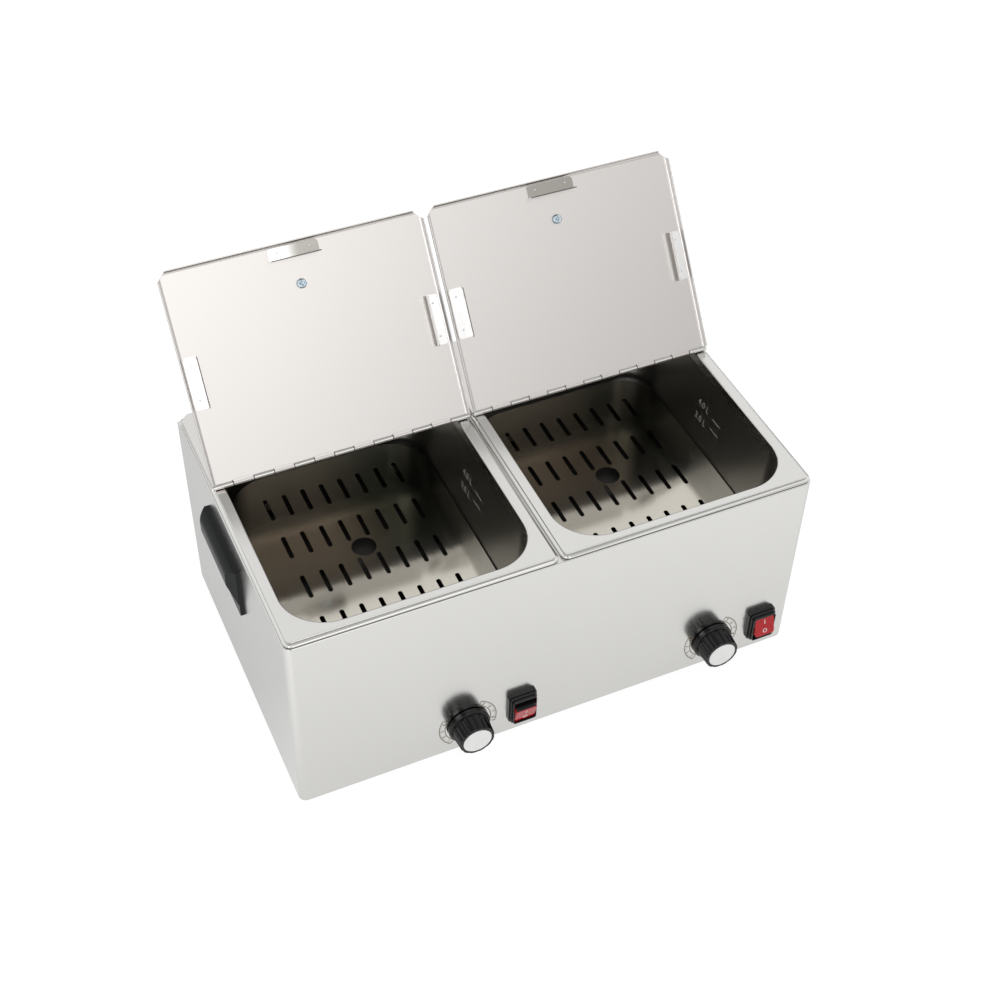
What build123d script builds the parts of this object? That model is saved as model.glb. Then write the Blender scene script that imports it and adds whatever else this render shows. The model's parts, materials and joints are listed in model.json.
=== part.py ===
"""Double sausage warmer with two wells, lift-out plates and hinged covers.

Millimetres. Origin on the floor, below the centre of the casing. +X right, +Y back, +Z up.
"""
import os
from math import atan2, cos, degrees, radians, sin, tan

from build123d import *

os.makedirs("parts", exist_ok=True)

# Sheet metal and general clearances
sheet = 1.0
screw_hole_clearance = 0.2
seat_clearance = 0.4

# Pan: stepped rim, tapered well and the studs below it
opening_width = 240.0
opening_depth = 300.0
opening_corner = 45.0
well_depth = 100.0
well_draft = 7.5
well_bottom_radius = 12.0
rim_land_side = 10.15
rim_land_end = 8.4
ledge_width = 2.6
rim_corner = 7.5
rim_raise = 2.0
ledge_height = 3.0
rim_edge_radius = 0.8
lip_radius = 1.8

# Casing
rim_inset = 1.5
casing_height = 224.0
casing_corner = 8.0
casing_bend = 1.2
casing_flange = 16.0
well_hole_clearance = 2.0

# Base and feet
foot_height = 11.0
foot_radius = 17.0
foot_taper = 4.0
foot_setback = 42.0
foot_recess_depth = 6.0
base_inset = 3.0
vent_length = 60.0
vent_width = 4.0
vent_pitch = 14.0
vent_count = 6

# Perforated plate
plate_gap = 1.2
plate_lift = 10.0
plate_thickness = 1.2
plate_corner = 46.0
plate_end_gap = 6.3
left_plate_shift = 4.5
right_plate_shift = 0.0
slot_columns = 8
slot_rows = 4
slot_pitch_x = 20.0
slot_pitch_y = 56.5
slot_length = 31.0
slot_width = 4.7
finger_hole_radius = 12.5
plate_leg_radius = 6.0
plate_leg_inset = 40.0

# Cover, lid and hinge
cover_inset = 0.6
lid_length = 208.0
lid_open_angle = 125.6
hinge_rise = 3.0
hinge_to_top = 1.2
knuckle_radius = 2.1
knuckle_count = 13
knuckle_gap = 0.4
hinge_pin_radius = 1.2
hinge_clearance = 0.07
hinge_stop_clearance = 0.3
fold_radius = 4.0
lid_clearance = 0.4
lid_corner_chamfer = 10.0

# Angle tabs and knob of the lid
tab_length = 50.0
tab_lip_height = 11.0
tab_corner = 3.0
side_tab_inset = 16.5
side_tab_from_front = 107.8
front_tab_inset = 15.8
lid_screw_from_front = 41.8
lid_screw_radius = 2.5
lid_screw_head_radius = 4.7
lid_screw_head_height = 3.2
lid_screw_length = 16.0
cross_width = 1.2
cross_length = 5.4
cross_depth = 1.4
lid_knob_radius = 16.0
lid_knob_neck_radius = 8.0
lid_knob_height = 32.0
lid_knob_crown = 4.0

# Heating below each pan
heater_width = 170.0
heater_depth = 210.0
heater_thickness = 8.0
heater_corner = 12.0
clamp_width = 30.0
clamp_thickness = 4.0
stud_radius = 3.0
stud_margin = 10.0
stud_end = 4.0
nut_across_flats = 10.0
nut_height = 5.0

# Controls on the front
control_pitch_extra = 3.5
switch_from_side = 33.0
knob_height_on_front = 34.5
switch_from_knob = 57.5
switch_height_on_front = 35.5

# Thermostat, shaft and knob
thermostat_width = 36.0
thermostat_height = 44.0
thermostat_depth = 30.0
thermostat_corner = 3.0
bushing_radius = 4.8
bushing_proud = 0.8
shaft_radius = 3.0
shaft_clearance = 0.05
shaft_reach = 17.0
shaft_seat = 12.0
thermostat_screw_spacing = 28.0
knob_skirt_radius = 21.8
knob_skirt_height = 5.5
knob_skirt_edge = 2.0
knob_skirt_wall = 4.0
knob_gap = 1.0
knob_reach = 24.0
knob_base_radius = 19.5
knob_front_radius = 18.2
knob_hub_radius = 7.0
knob_hollow_depth = 5.5
knob_edge = 0.6
flute_count = 12
flute_radius = 5.0
flute_depth = 0.9
cap_radius = 14.8
cap_thickness = 1.2
cap_proud = 0.2

# Rocker switch
frame_width = 30.0
frame_height = 38.0
frame_reach = 9.5
frame_step_count = 3
frame_step_in = 1.25
frame_corner = 3.0
rocker_width = 22.5
rocker_height = 23.0
rocker_reach = 13.5
rocker_back = 3.0
rocker_corner = 3.0
rocker_edge = 1.0
rocker_tilt = 15.5
rocker_clearance = 0.4
rocker_pivot_in = 2.0
pivot_radius = 1.5
pivot_clearance = 0.05
pivot_length = 1.0
switch_wall = 1.1
switch_body_depth = 22.0
switch_cavity_depth = 8.5
switch_cavity_corner = 2.0

# Hood-shaped side grips
grip_length = 97.0
grip_centre_from_front = 186.0
grip_top = 190.0
grip_drop = 62.0
grip_plate_thickness = 3.5
grip_plate_corner = 2.0
grip_plate_step = 1.2
grip_reach = 11.8
grip_wall = 2.2
grip_crown_drop = 11.0
grip_lip_drop = 23.0
grip_cheek_drop = 47.0
grip_cheek_width = 12.0
grip_end_slope = 9.0
grip_screw_from_end = 7.0
grip_screw_below_top = 24.0
grip_screw_depth = 5.0

# Small screws
screw_radius = 2.0
screw_head_radius = 3.6
screw_head_height = 2.4
screw_length = 7.0

# Cable gland and terminal block
gland_from_centre = 180.0
gland_above_bottom = 34.0
gland_thread_radius = 8.0
gland_bore_radius = 4.0
gland_flats = 22.0
gland_hex_height = 5.0
gland_dome_height = 13.5
gland_thread_length = 9.0
terminal_width = 46.0
terminal_depth = 22.0
terminal_height = 18.0
terminal_pole_count = 3
terminal_hole_radius = 2.6

# Places worked out from the sizes above
rim_width = opening_width + 2 * (rim_land_side + ledge_width)
rim_depth = opening_depth + 2 * (rim_land_end + ledge_width)
well_pitch = rim_width + 2 * rim_inset
casing_width = 2 * well_pitch
casing_depth = rim_depth + 2 * rim_inset
shell_depth = casing_depth - sheet
casing_bottom = foot_height + sheet
casing_top = casing_bottom + casing_height
ledge_top = casing_top + ledge_height
rim_top = ledge_top + rim_raise
front_y = -casing_depth / 2
panel_y = casing_depth / 2 - sheet
well_floor = rim_top - well_depth
plate_top = well_floor + plate_lift + plate_thickness
well_narrowing = (rim_top - plate_top) * tan(radians(well_draft))
cover_width = rim_width - 2 * cover_inset
hinge_y = front_y + rim_inset + cover_inset + lid_length
hinge_z = rim_top + hinge_rise
cover_top = hinge_z + hinge_to_top
cover_depth = rim_depth - lid_length - 2 * cover_inset
hinge_notch = hinge_to_top * tan(radians(lid_open_angle / 2)) + hinge_stop_clearance
knuckle_pitch = cover_width / knuckle_count
lid_inside = hinge_to_top - sheet
side_tab_from_hinge = lid_length - side_tab_from_front
front_tab_from_hinge = lid_length - front_tab_inset
lid_screw_from_hinge = lid_length - lid_screw_from_front
control_pitch = well_pitch + control_pitch_extra
stud_y = heater_depth / 2 + stud_margin
heater_bottom = well_floor - sheet - heater_thickness
clamp_bottom = heater_bottom - clamp_thickness
knob_z = casing_bottom + knob_height_on_front
switch_z = casing_bottom + switch_height_on_front
cavity_width = rocker_width + 2 * rocker_clearance
rocker_swing = rocker_height / 2 * cos(radians(rocker_tilt)) + rocker_reach * sin(radians(rocker_tilt))
cavity_height = 2 * (rocker_swing + rocker_clearance)
switch_body_width = cavity_width + 2 * switch_wall
switch_body_height = cavity_height + 2 * switch_wall
grip_y = front_y + grip_centre_from_front
grip_z = casing_bottom + grip_top

# Local frame of the front controls: x right, y up, z out of the front panel
facing_front = Rot(90, 0, 0)
facing_back = Rot(-90, 0, 0)
upright = (Align.CENTER, Align.CENTER, Align.MIN)
hanging = (Align.CENTER, Align.CENTER, Align.MAX)


def rounded_slab(width, depth, height, corner, z):
    """Flat block with rounded upright corners, standing on height z."""
    return Pos(0, 0, z) * extrude(RectangleRounded(width, depth, corner), height)


def tapered_well(wall, floor_z):
    """Solid of the drafted well, grown outwards by a wall."""
    outline = RectangleRounded(
        opening_width + 2 * wall, opening_depth + 2 * wall, opening_corner + wall
    )
    well = extrude(Plane.XY * outline, rim_top - floor_z, dir=(0, 0, -1), taper=well_draft)
    well = fillet(well.edges().group_by(Axis.Z)[0], well_bottom_radius + wall)
    return Pos(0, 0, rim_top) * well


def screw(radius, head_radius, head_height, length):
    """Pan-head screw along z, with its head above zero and its shank below."""
    head = Cylinder(head_radius, head_height, align=upright)
    head = chamfer(head.edges().group_by(Axis.Z)[-1], head_height * 0.4)
    return head + Cylinder(radius, length, align=hanging)


def small_screw():
    return screw(screw_radius, screw_head_radius, screw_head_height, screw_length)


def small_screw_hole(depth):
    return Cylinder(screw_radius + screw_hole_clearance, depth)


def back_screw_places():
    across = casing_width / 2 - casing_flange / 2
    low = casing_bottom + casing_flange / 2
    high = casing_top - casing_flange / 2
    return [(x, z) for x in (-across, 0, across) for z in (low, high)]


def base_screw_places():
    across = casing_width / 2 - casing_flange / 2
    along = shell_depth / 2 - casing_flange / 2
    return [(x, y - sheet / 2) for x in (-across, 0, across) for y in (-along, along)]


def foot_places():
    across = casing_width / 2 - foot_setback
    along = casing_depth / 2 - foot_setback
    return [(x, y) for x in (-across, across) for y in (-along, along)]


def grip_screw_places():
    reach = grip_length / 2 - grip_screw_from_end
    return [(grip_y - reach, grip_z - grip_screw_below_top), (grip_y + reach, grip_z - grip_screw_below_top)]


def control_x(side):
    """Place of a well's knob along the front; the switch stands to the right of it."""
    right_knob = casing_width / 2 - switch_from_side - switch_from_knob
    return right_knob if side > 0 else right_knob - control_pitch


def thermostat_screw_places():
    return [-thermostat_screw_spacing / 2, thermostat_screw_spacing / 2]


def make_casing():
    """Bent sheet box with two well openings, flanged at the back and at the bottom."""
    outline = Rectangle(casing_width, shell_depth)
    outline = fillet(outline.vertices().group_by(Axis.Y)[0], casing_corner)
    inner = offset(outline, -sheet)
    body = extrude(outline, casing_height)
    body = fillet(body.edges().group_by(Axis.Z)[-1], casing_bend)
    body -= Pos(0, 0, sheet) * extrude(inner, casing_height - 2 * sheet)
    body -= Box(casing_width - 2 * casing_flange, shell_depth - 2 * casing_flange, 4 * sheet)
    back_height = casing_height - 2 * casing_flange
    back_hole = Box(casing_width - 2 * casing_flange, 4 * sheet, back_height, align=upright)
    body -= Pos(0, shell_depth / 2, casing_flange) * back_hole
    body = Pos(0, -sheet / 2, casing_bottom) * body
    hole = rounded_slab(
        opening_width + 2 * sheet + 2 * well_hole_clearance,
        opening_depth + 2 * sheet + 2 * well_hole_clearance,
        4 * sheet,
        opening_corner + sheet + well_hole_clearance,
        casing_top - 3 * sheet,
    )
    for side in (-1, 1):
        body -= Pos(side * well_pitch / 2, 0, 0) * hole
        knob_x = control_x(side)
        front = Pos(knob_x, front_y, knob_z) * facing_front
        body -= front * Cylinder(bushing_radius + seat_clearance, 4 * sheet)
        for x in thermostat_screw_places():
            body -= front * Pos(x, 0, 0) * small_screw_hole(4 * sheet)
        cutout = Box(switch_body_width + seat_clearance, switch_body_height + seat_clearance, 4 * sheet)
        body -= Pos(knob_x + switch_from_knob, front_y, switch_z) * facing_front * cutout
        for y, z in grip_screw_places():
            body -= Pos(side * casing_width / 2, y, z) * Rot(0, 90, 0) * small_screw_hole(4 * sheet)
    for x, z in back_screw_places():
        body -= Pos(x, panel_y, z) * facing_back * small_screw_hole(4 * sheet)
    for x, y in base_screw_places():
        body -= Pos(x, y, casing_bottom) * small_screw_hole(4 * sheet)
    return body


def make_back_panel():
    """Flat rear sheet with holes for its screws and for the cable gland."""
    width = casing_width - casing_flange / 2
    height = casing_height - casing_flange / 2
    panel = extrude(RectangleRounded(width, height, base_inset), sheet)
    panel = Pos(0, panel_y, casing_bottom + casing_height / 2) * facing_back * panel
    for x, z in back_screw_places():
        panel -= Pos(x, panel_y, z) * facing_back * small_screw_hole(4 * sheet)
    gland_hole = Cylinder(gland_thread_radius + screw_hole_clearance, 4 * sheet)
    panel -= Pos(gland_from_centre, panel_y, casing_bottom + gland_above_bottom) * facing_back * gland_hole
    return panel


def make_back_screws():
    head_y = panel_y + sheet
    return Compound([Pos(x, head_y, z) * facing_back * small_screw() for x, z in back_screw_places()])


def make_base_plate():
    """Bottom sheet with two banks of vent slots and holes for feet and screws."""
    plate = rounded_slab(
        casing_width - 2 * base_inset,
        shell_depth - 2 * base_inset,
        sheet,
        casing_corner,
        foot_height,
    )
    plate = Pos(0, -sheet / 2, 0) * plate
    for side in (-1, 1):
        for index in range(vent_count):
            x = side * well_pitch / 2 + (index - (vent_count - 1) / 2) * vent_pitch
            slot = extrude(SlotOverall(vent_length, vent_width, rotation=90), 4 * sheet, both=True)
            plate -= Pos(x, 0, foot_height) * slot
    for x, y in base_screw_places():
        plate -= Pos(x, y, foot_height) * small_screw_hole(4 * sheet)
    for x, y in foot_places():
        plate -= Pos(x, y, foot_height) * Cylinder(lid_screw_radius + screw_hole_clearance, 4 * sheet)
    return plate


def make_base_screws():
    upside_down = Rot(180, 0, 0)
    return Compound([Pos(x, y, foot_height) * upside_down * small_screw() for x, y in base_screw_places()])


def make_feet():
    """Four tapered rubber feet, recessed below for their screws."""
    foot = Cone(foot_radius - foot_taper, foot_radius, foot_height, align=upright)
    foot -= Cylinder(lid_screw_head_radius + seat_clearance, 2 * foot_recess_depth)
    foot -= Cylinder(lid_screw_radius + screw_hole_clearance, 4 * foot_height)
    return Compound([Pos(x, y, 0) * foot for x, y in foot_places()])


def make_foot_screws():
    fastener = screw(lid_screw_radius, lid_screw_head_radius, lid_screw_head_height, lid_screw_length)
    upside_down = Rot(180, 0, 0)
    return Compound([Pos(x, y, foot_recess_depth) * upside_down * fastener for x, y in foot_places()])


def grip_prism(half_length, section):
    """Hood-like solid of a given section, with ends that slope back to the wall.

    Local frame: x along the grip, y up from its top edge, z out of the wall.
    """
    plan = Polyline(
        (-half_length, 0),
        (-half_length, grip_plate_thickness),
        (-half_length + grip_end_slope, grip_reach),
        (half_length - grip_end_slope, grip_reach),
        (half_length, grip_plate_thickness),
        (half_length, 0),
        close=True,
    )
    lengthwise = extrude(Plane.ZX * make_face(Plane.YX * plan), 2 * grip_drop, both=True)
    across = extrude(Plane.YZ * make_face(Plane.YX * section), grip_length, both=True)
    return lengthwise & across


def grip_section(wall, outline):
    """Section across the grip: a quarter-round crown, closed by the outline from its foot to its top."""
    centre = (grip_plate_thickness, -grip_crown_drop)
    out = grip_reach - wall - grip_plate_thickness
    up = grip_crown_drop - grip_plate_step - wall
    return EllipticalCenterArc(centre, out, up, start_angle=0, arc_size=90) + Polyline(*outline)


def make_grip():
    """Moulded finger hood, open below, on a flat plate that lies against the casing."""
    plate = extrude(RectangleRounded(grip_length, grip_drop, grip_plate_corner), grip_plate_thickness)
    foot = grip_plate_thickness
    hood_outline = (
        (grip_reach, -grip_crown_drop),
        (grip_reach, -grip_lip_drop),
        (foot, -grip_cheek_drop),
        (0, -grip_cheek_drop),
        (0, -grip_plate_step),
        (foot, -grip_plate_step),
    )
    space_outline = (
        (grip_reach - grip_wall, -grip_crown_drop),
        (grip_reach - grip_wall, -grip_drop),
        (foot, -grip_drop),
        (foot, -grip_plate_step - grip_wall),
    )
    hood = grip_prism(grip_length / 2, grip_section(0, hood_outline))
    hood -= grip_prism(grip_length / 2 - grip_cheek_width, grip_section(grip_wall, space_outline))
    return Pos(0, -grip_drop / 2, 0) * plate + hood


def place_grip(side, shape):
    """Stand a grip, made with z out of the wall, on the left or right side of the casing."""
    turn = Rot(0, 0, -90) if side < 0 else Rot(0, 0, 90)
    return Pos(side * casing_width / 2, grip_y, grip_z) * turn * facing_front * shape


def make_handle(side):
    return place_grip(side, make_grip() - grip_screw_holes())


def grip_screw_holes():
    reach = grip_length / 2 - grip_screw_from_end
    hole = Cylinder(screw_radius, 2 * grip_screw_depth)
    return Compound([Pos(x, -grip_screw_below_top, 0) * hole for x in (-reach, reach)])


def make_handle_screws():
    """Screws driven from inside the casing into the feet of both grips."""
    fasteners = []
    for side in (-1, 1):
        inside = Rot(0, 90, 0) if side < 0 else Rot(0, -90, 0)
        for y, z in grip_screw_places():
            fasteners.append(Pos(side * (casing_width / 2 - sheet), y, z) * inside * grip_screw())
    return Compound(fasteners)


def grip_screw():
    return screw(screw_radius, screw_head_radius, screw_head_height, sheet + grip_screw_depth)


def make_cable_gland():
    """Cable gland with a hexagon outside the back panel and a threaded tail inside."""
    hexagon = extrude(RegularPolygon(gland_flats / 2, 6, major_radius=False), gland_hex_height)
    dome = Cone(gland_flats / 2, gland_thread_radius, gland_dome_height, align=upright)
    tail = Cylinder(gland_thread_radius, gland_thread_length, align=hanging)
    gland = hexagon + Pos(0, 0, gland_hex_height) * dome + tail
    gland -= Cylinder(gland_bore_radius, 4 * gland_dome_height)
    return place_on_back(sheet, gland)


def make_gland_nut():
    nut = extrude(RegularPolygon(gland_flats / 2, 6, major_radius=False), -gland_hex_height)
    nut -= Cylinder(gland_thread_radius, 4 * gland_hex_height)
    return place_on_back(0, nut)


def place_on_back(proud, shape):
    """Put a piece of the gland on the back panel, with z pointing backwards."""
    return Pos(gland_from_centre, panel_y + proud, casing_bottom + gland_above_bottom) * facing_back * shape


def terminal_place():
    return Pos(gland_from_centre, casing_depth / 4, casing_bottom)


def terminal_screw_places():
    pitch = terminal_width / terminal_pole_count
    return [-pitch / 2, pitch / 2]


def make_terminal_block():
    """Ceramic block whose poles are bored through from front to back."""
    block = Box(terminal_width, terminal_depth, terminal_height, align=upright)
    pitch = terminal_width / terminal_pole_count
    for index in range(terminal_pole_count):
        x = (index - (terminal_pole_count - 1) / 2) * pitch
        bore = Rot(90, 0, 0) * Cylinder(terminal_hole_radius, 2 * terminal_depth)
        block -= Pos(x, 0, terminal_height / 2) * bore
    for x in terminal_screw_places():
        block -= Pos(x, 0, 0) * Cylinder(screw_radius, 4 * terminal_height)
    return terminal_place() * block


def make_terminal_screws():
    fastener = screw(screw_radius, screw_head_radius, screw_head_height, terminal_height)
    return Compound(
        [terminal_place() * Pos(x, 0, terminal_height) * fastener for x in terminal_screw_places()]
    )


def make_pan():
    """Drawn pan: flat rim, step down to a ledge, skirt on the casing, drafted well, studs below."""
    ledge = rounded_slab(rim_width, rim_depth, ledge_height, rim_corner, casing_top)
    land_width = rim_width - 2 * ledge_width
    land_depth = rim_depth - 2 * ledge_width
    land_corner = rim_corner - ledge_width
    land = rounded_slab(land_width, land_depth, rim_raise, land_corner, ledge_top)
    land = fillet(land.edges().group_by(Axis.Z)[-1], rim_edge_radius)
    pan = ledge + land
    pan -= rounded_slab(
        rim_width - 2 * sheet,
        rim_depth - 2 * sheet,
        ledge_height - sheet,
        rim_corner - sheet,
        casing_top,
    )
    pan -= rounded_slab(
        land_width - 2 * sheet,
        land_depth - 2 * sheet,
        rim_raise + sheet,
        land_corner - sheet,
        ledge_top - 2 * sheet,
    )
    pan += tapered_well(sheet, well_floor - sheet)
    pan -= tapered_well(0, well_floor)
    lip = [
        edge
        for edge in pan.edges().filter_by_position(Axis.Z, rim_top - 0.01, rim_top + 0.01)
        if abs(edge.center().X) < opening_width / 2 + 1 and abs(edge.center().Y) < opening_depth / 2 + 1
    ]
    pan = fillet(lip, lip_radius)
    stud_length = heater_thickness + clamp_thickness + nut_height + stud_end
    for y in (-stud_y, stud_y):
        pan += Pos(0, y, well_floor - sheet) * Cylinder(stud_radius, stud_length, align=hanging)
    return pan


def make_plate():
    """Perforated plate on four legs, with rows of slots and a finger hole in the middle."""
    width = opening_width - 2 * well_narrowing - 2 * plate_gap
    depth = opening_depth - 2 * well_narrowing - 2 * plate_end_gap
    plate = RectangleRounded(width, depth, plate_corner) - Circle(finger_hole_radius)
    slot = SlotOverall(slot_length, slot_width, rotation=90)
    plate -= GridLocations(slot_pitch_x, slot_pitch_y, slot_columns, slot_rows) * slot
    plate = extrude(plate, plate_thickness)
    leg = Cylinder(plate_leg_radius, plate_lift, align=hanging)
    for x in (-1, 1):
        for y in (-1, 1):
            plate += Pos(x * (width / 2 - plate_leg_inset), y * (depth / 2 - plate_leg_inset), 0) * leg
    return Pos(0, 0, plate_top - plate_thickness) * plate


def folded_tray(length, flange_height):
    """Sheet with three flanges folded down and the two far corners cut off.

    Local frame: the hinge axis is x, y runs from the hinge to the far edge, z is up.
    """
    span = length - hinge_notch
    middle = Pos(0, hinge_notch + span / 2, hinge_to_top)
    block = middle * Box(cover_width, span, flange_height, align=hanging)
    folds = block.edges().group_by(Axis.Z)[-1] - block.edges().group_by(Axis.Z)[-1].group_by(Axis.Y)[0]
    tray = fillet(folds, fold_radius)
    hollow_size = (cover_width - 2 * sheet, span, flange_height)
    hollow = middle * Pos(0, -sheet, -sheet) * Box(*hollow_size, align=hanging)
    top = hollow.edges().group_by(Axis.Z)[-1]
    hollow = fillet(top - top.group_by(Axis.Y)[0], fold_radius - sheet)
    tray -= hollow
    for side in (-1, 1):
        corner = Polyline(
            (0, 0),
            (-side * lid_corner_chamfer, 0),
            (0, -lid_corner_chamfer),
            close=True,
        )
        cut = extrude(make_face(corner), 4 * flange_height, both=True)
        tray -= Pos(side * cover_width / 2, length, 0) * cut
    return tray


def knuckles(odd, bore):
    """Every second knuckle of the hinge, each with the strap that joins it to its sheet."""
    length = knuckle_pitch - knuckle_gap
    strap = Box(length, hinge_notch, sheet, align=(Align.CENTER, Align.MIN, Align.MAX))
    barrel = Rot(0, 90, 0) * Cylinder(knuckle_radius, length)
    knuckle = barrel + Pos(0, 0, hinge_to_top) * strap
    knuckle -= Rot(0, 90, 0) * Cylinder(bore, 2 * length)
    first = 1 if odd else 0
    places = range(first, knuckle_count, 2)
    return [Pos((index - (knuckle_count - 1) / 2) * knuckle_pitch, 0, 0) * knuckle for index in places]


def place_on_hinge(angle, shape):
    """Turn a piece of the lid or cover about the hinge and put the hinge in its place."""
    return Pos(0, hinge_y, hinge_z) * Rot(angle, 0, 0) * shape


def make_cover():
    """Fixed rear part of the cover, resting on the ledge, with its share of the knuckles."""
    tray = folded_tray(cover_depth, cover_top - ledge_top)
    for knuckle in knuckles(False, hinge_pin_radius):
        tray += knuckle
    return place_on_hinge(0, tray)


def make_hinge_pin():
    return place_on_hinge(0, Rot(0, 90, 0) * Cylinder(hinge_pin_radius, cover_width - knuckle_gap))


def open_lid(shape):
    """Turn a piece of the lid, made with its far edge towards +y, to the front and then open."""
    return place_on_hinge(-lid_open_angle, Rot(0, 0, 180) * shape)


def make_lid():
    """Hinged front flap, folded like the cover, with the other knuckles and a hole for its knob."""
    tray = folded_tray(lid_length, cover_top - ledge_top - lid_clearance)
    for knuckle in knuckles(True, hinge_pin_radius + hinge_clearance):
        tray += knuckle
    screw_hole = Cylinder(lid_screw_radius + screw_hole_clearance, 4 * hinge_to_top)
    return open_lid(tray - Pos(0, lid_screw_from_hinge, 0) * screw_hole)


def angle_tab(flat):
    """Welded angle: a flat under the lid and a lip down into the pan, along x, lip at y = 0."""
    foot = Box(tab_length, flat, sheet, align=(Align.CENTER, Align.MIN, Align.MAX))
    foot = fillet(foot.edges().filter_by(Axis.Z).group_by(Axis.Y)[-1], tab_corner)
    lip = Box(tab_length, sheet, tab_lip_height, align=(Align.CENTER, Align.MIN, Align.MAX))
    lip = fillet(lip.edges().filter_by(Axis.Y).group_by(Axis.Z)[0], tab_corner)
    bend = (foot + lip).edges().filter_by(Axis.X).sort_by(SortBy.DISTANCE)[0]
    return Pos(0, 0, lid_inside) * fillet(bend, sheet / 2)


def make_lid_tabs():
    """One tab near the front edge and one near each side of the lid."""
    front_flat = lid_length - fold_radius - front_tab_from_hinge
    tabs = [Pos(0, front_tab_from_hinge, 0) * angle_tab(front_flat)]
    side_flat = side_tab_inset - fold_radius
    for side in (-1, 1):
        lip_x = side * (cover_width / 2 - side_tab_inset)
        tabs.append(Pos(lip_x, side_tab_from_hinge, 0) * Rot(0, 0, -90 * side) * angle_tab(side_flat))
    return open_lid(Compound(tabs))


def make_lid_screw():
    """Pan-head screw with a cross recess, from inside the lid into its knob."""
    fastener = screw(lid_screw_radius, lid_screw_head_radius, lid_screw_head_height, lid_screw_length)
    arm = Pos(0, 0, lid_screw_head_height) * Box(cross_length, cross_width, 2 * cross_depth)
    fastener = fastener - arm - Rot(0, 0, 90) * arm
    return open_lid(Pos(0, lid_screw_from_hinge, lid_inside) * Rot(180, 0, 0) * fastener)


def make_lid_knob():
    """Turned plastic knob on the outside of the lid, with a blind hole for its screw."""
    third = lid_knob_height / 3
    neck = Cylinder(lid_knob_neck_radius, third, align=upright)
    flare = Pos(0, 0, third) * Cone(lid_knob_neck_radius, lid_knob_radius, third, align=upright)
    head = Pos(0, 0, 2 * third) * Cylinder(lid_knob_radius, third, align=upright)
    head = fillet(head.edges().group_by(Axis.Z)[-1], lid_knob_crown)
    knob = neck + flare + head
    knob -= Cylinder(lid_screw_radius, 2 * (lid_screw_length - sheet))
    return open_lid(Pos(0, lid_screw_from_hinge, hinge_to_top) * knob)


def make_heater():
    """Flat heating plate pressed against the pan's bottom."""
    return rounded_slab(heater_width, heater_depth, heater_thickness, heater_corner, heater_bottom)


def make_heater_clamp():
    """Bar across the heating plate, drawn up by a nut on each stud."""
    length = 2 * stud_y + clamp_width
    bar = rounded_slab(clamp_width, length, clamp_thickness, clamp_width / 4, clamp_bottom)
    for y in (-stud_y, stud_y):
        bar -= Pos(0, y, clamp_bottom) * Cylinder(stud_radius + seat_clearance, 4 * clamp_thickness)
    return bar


def make_clamp_nuts():
    nut = extrude(RegularPolygon(nut_across_flats / 2, 6, major_radius=False), -nut_height)
    nut -= Cylinder(stud_radius, 4 * nut_height)
    return Compound([Pos(0, y, clamp_bottom) * nut for y in (-stud_y, stud_y)])


def make_thermostat():
    """Thermostat body behind the front panel, with its bushing through the panel."""
    back = Pos(0, 0, -sheet - thermostat_depth)
    outline = RectangleRounded(thermostat_width, thermostat_height, thermostat_corner)
    body = back * extrude(outline, thermostat_depth)
    body += Pos(0, 0, -sheet) * Cylinder(bushing_radius, sheet + bushing_proud, align=upright)
    body -= Pos(0, 0, -shaft_seat) * Cylinder(shaft_radius + shaft_clearance, 4 * shaft_seat, align=upright)
    for x in thermostat_screw_places():
        body -= Pos(x, 0, 0) * Cylinder(screw_radius, 2 * screw_length)
    return body


def make_thermostat_screws():
    return Compound([Pos(x, 0, 0) * small_screw() for x in thermostat_screw_places()])


def make_thermostat_shaft():
    return Pos(0, 0, -shaft_seat) * Cylinder(shaft_radius, shaft_seat + shaft_reach, align=upright)


def make_knob():
    """Fluted, tapered control knob with a skirt, hollow at the back around its hub."""
    skirt = Cylinder(knob_skirt_radius, knob_skirt_height, align=upright)
    skirt = fillet(skirt.edges().group_by(Axis.Z)[-1], knob_skirt_edge)
    grip_height = knob_reach - knob_gap - knob_skirt_height
    grip = Cone(knob_base_radius, knob_front_radius, grip_height, align=upright)
    grip = chamfer(grip.edges().group_by(Axis.Z)[-1], knob_edge)
    lean = degrees(atan2(knob_base_radius - knob_front_radius, grip_height))
    groove = Rot(0, -lean, 0) * Cylinder(flute_radius, 3 * grip_height, align=upright)
    for index in range(flute_count):
        around = Rot(0, 0, 360 * index / flute_count)
        grip -= around * Pos(knob_base_radius + flute_radius - flute_depth, 0, 0) * groove
    knob = skirt + Pos(0, 0, knob_skirt_height) * grip
    hollow = Cylinder(knob_skirt_radius - knob_skirt_wall, knob_hollow_depth, align=upright)
    knob -= hollow - Cylinder(knob_hub_radius, knob_hollow_depth, align=upright)
    knob -= Cylinder(shaft_radius, 2 * (shaft_reach - knob_gap))
    recess = Cylinder(cap_radius, cap_thickness, align=upright)
    knob -= Pos(0, 0, knob_reach - knob_gap - cap_thickness + cap_proud) * recess
    return Pos(0, 0, knob_gap) * knob


def make_knob_cap():
    """Pale disc set into the front of the knob."""
    disc = Cylinder(cap_radius, cap_thickness, align=upright)
    disc = chamfer(disc.edges().group_by(Axis.Z)[-1], cap_proud)
    return Pos(0, 0, knob_reach - cap_thickness + cap_proud) * disc


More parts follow.
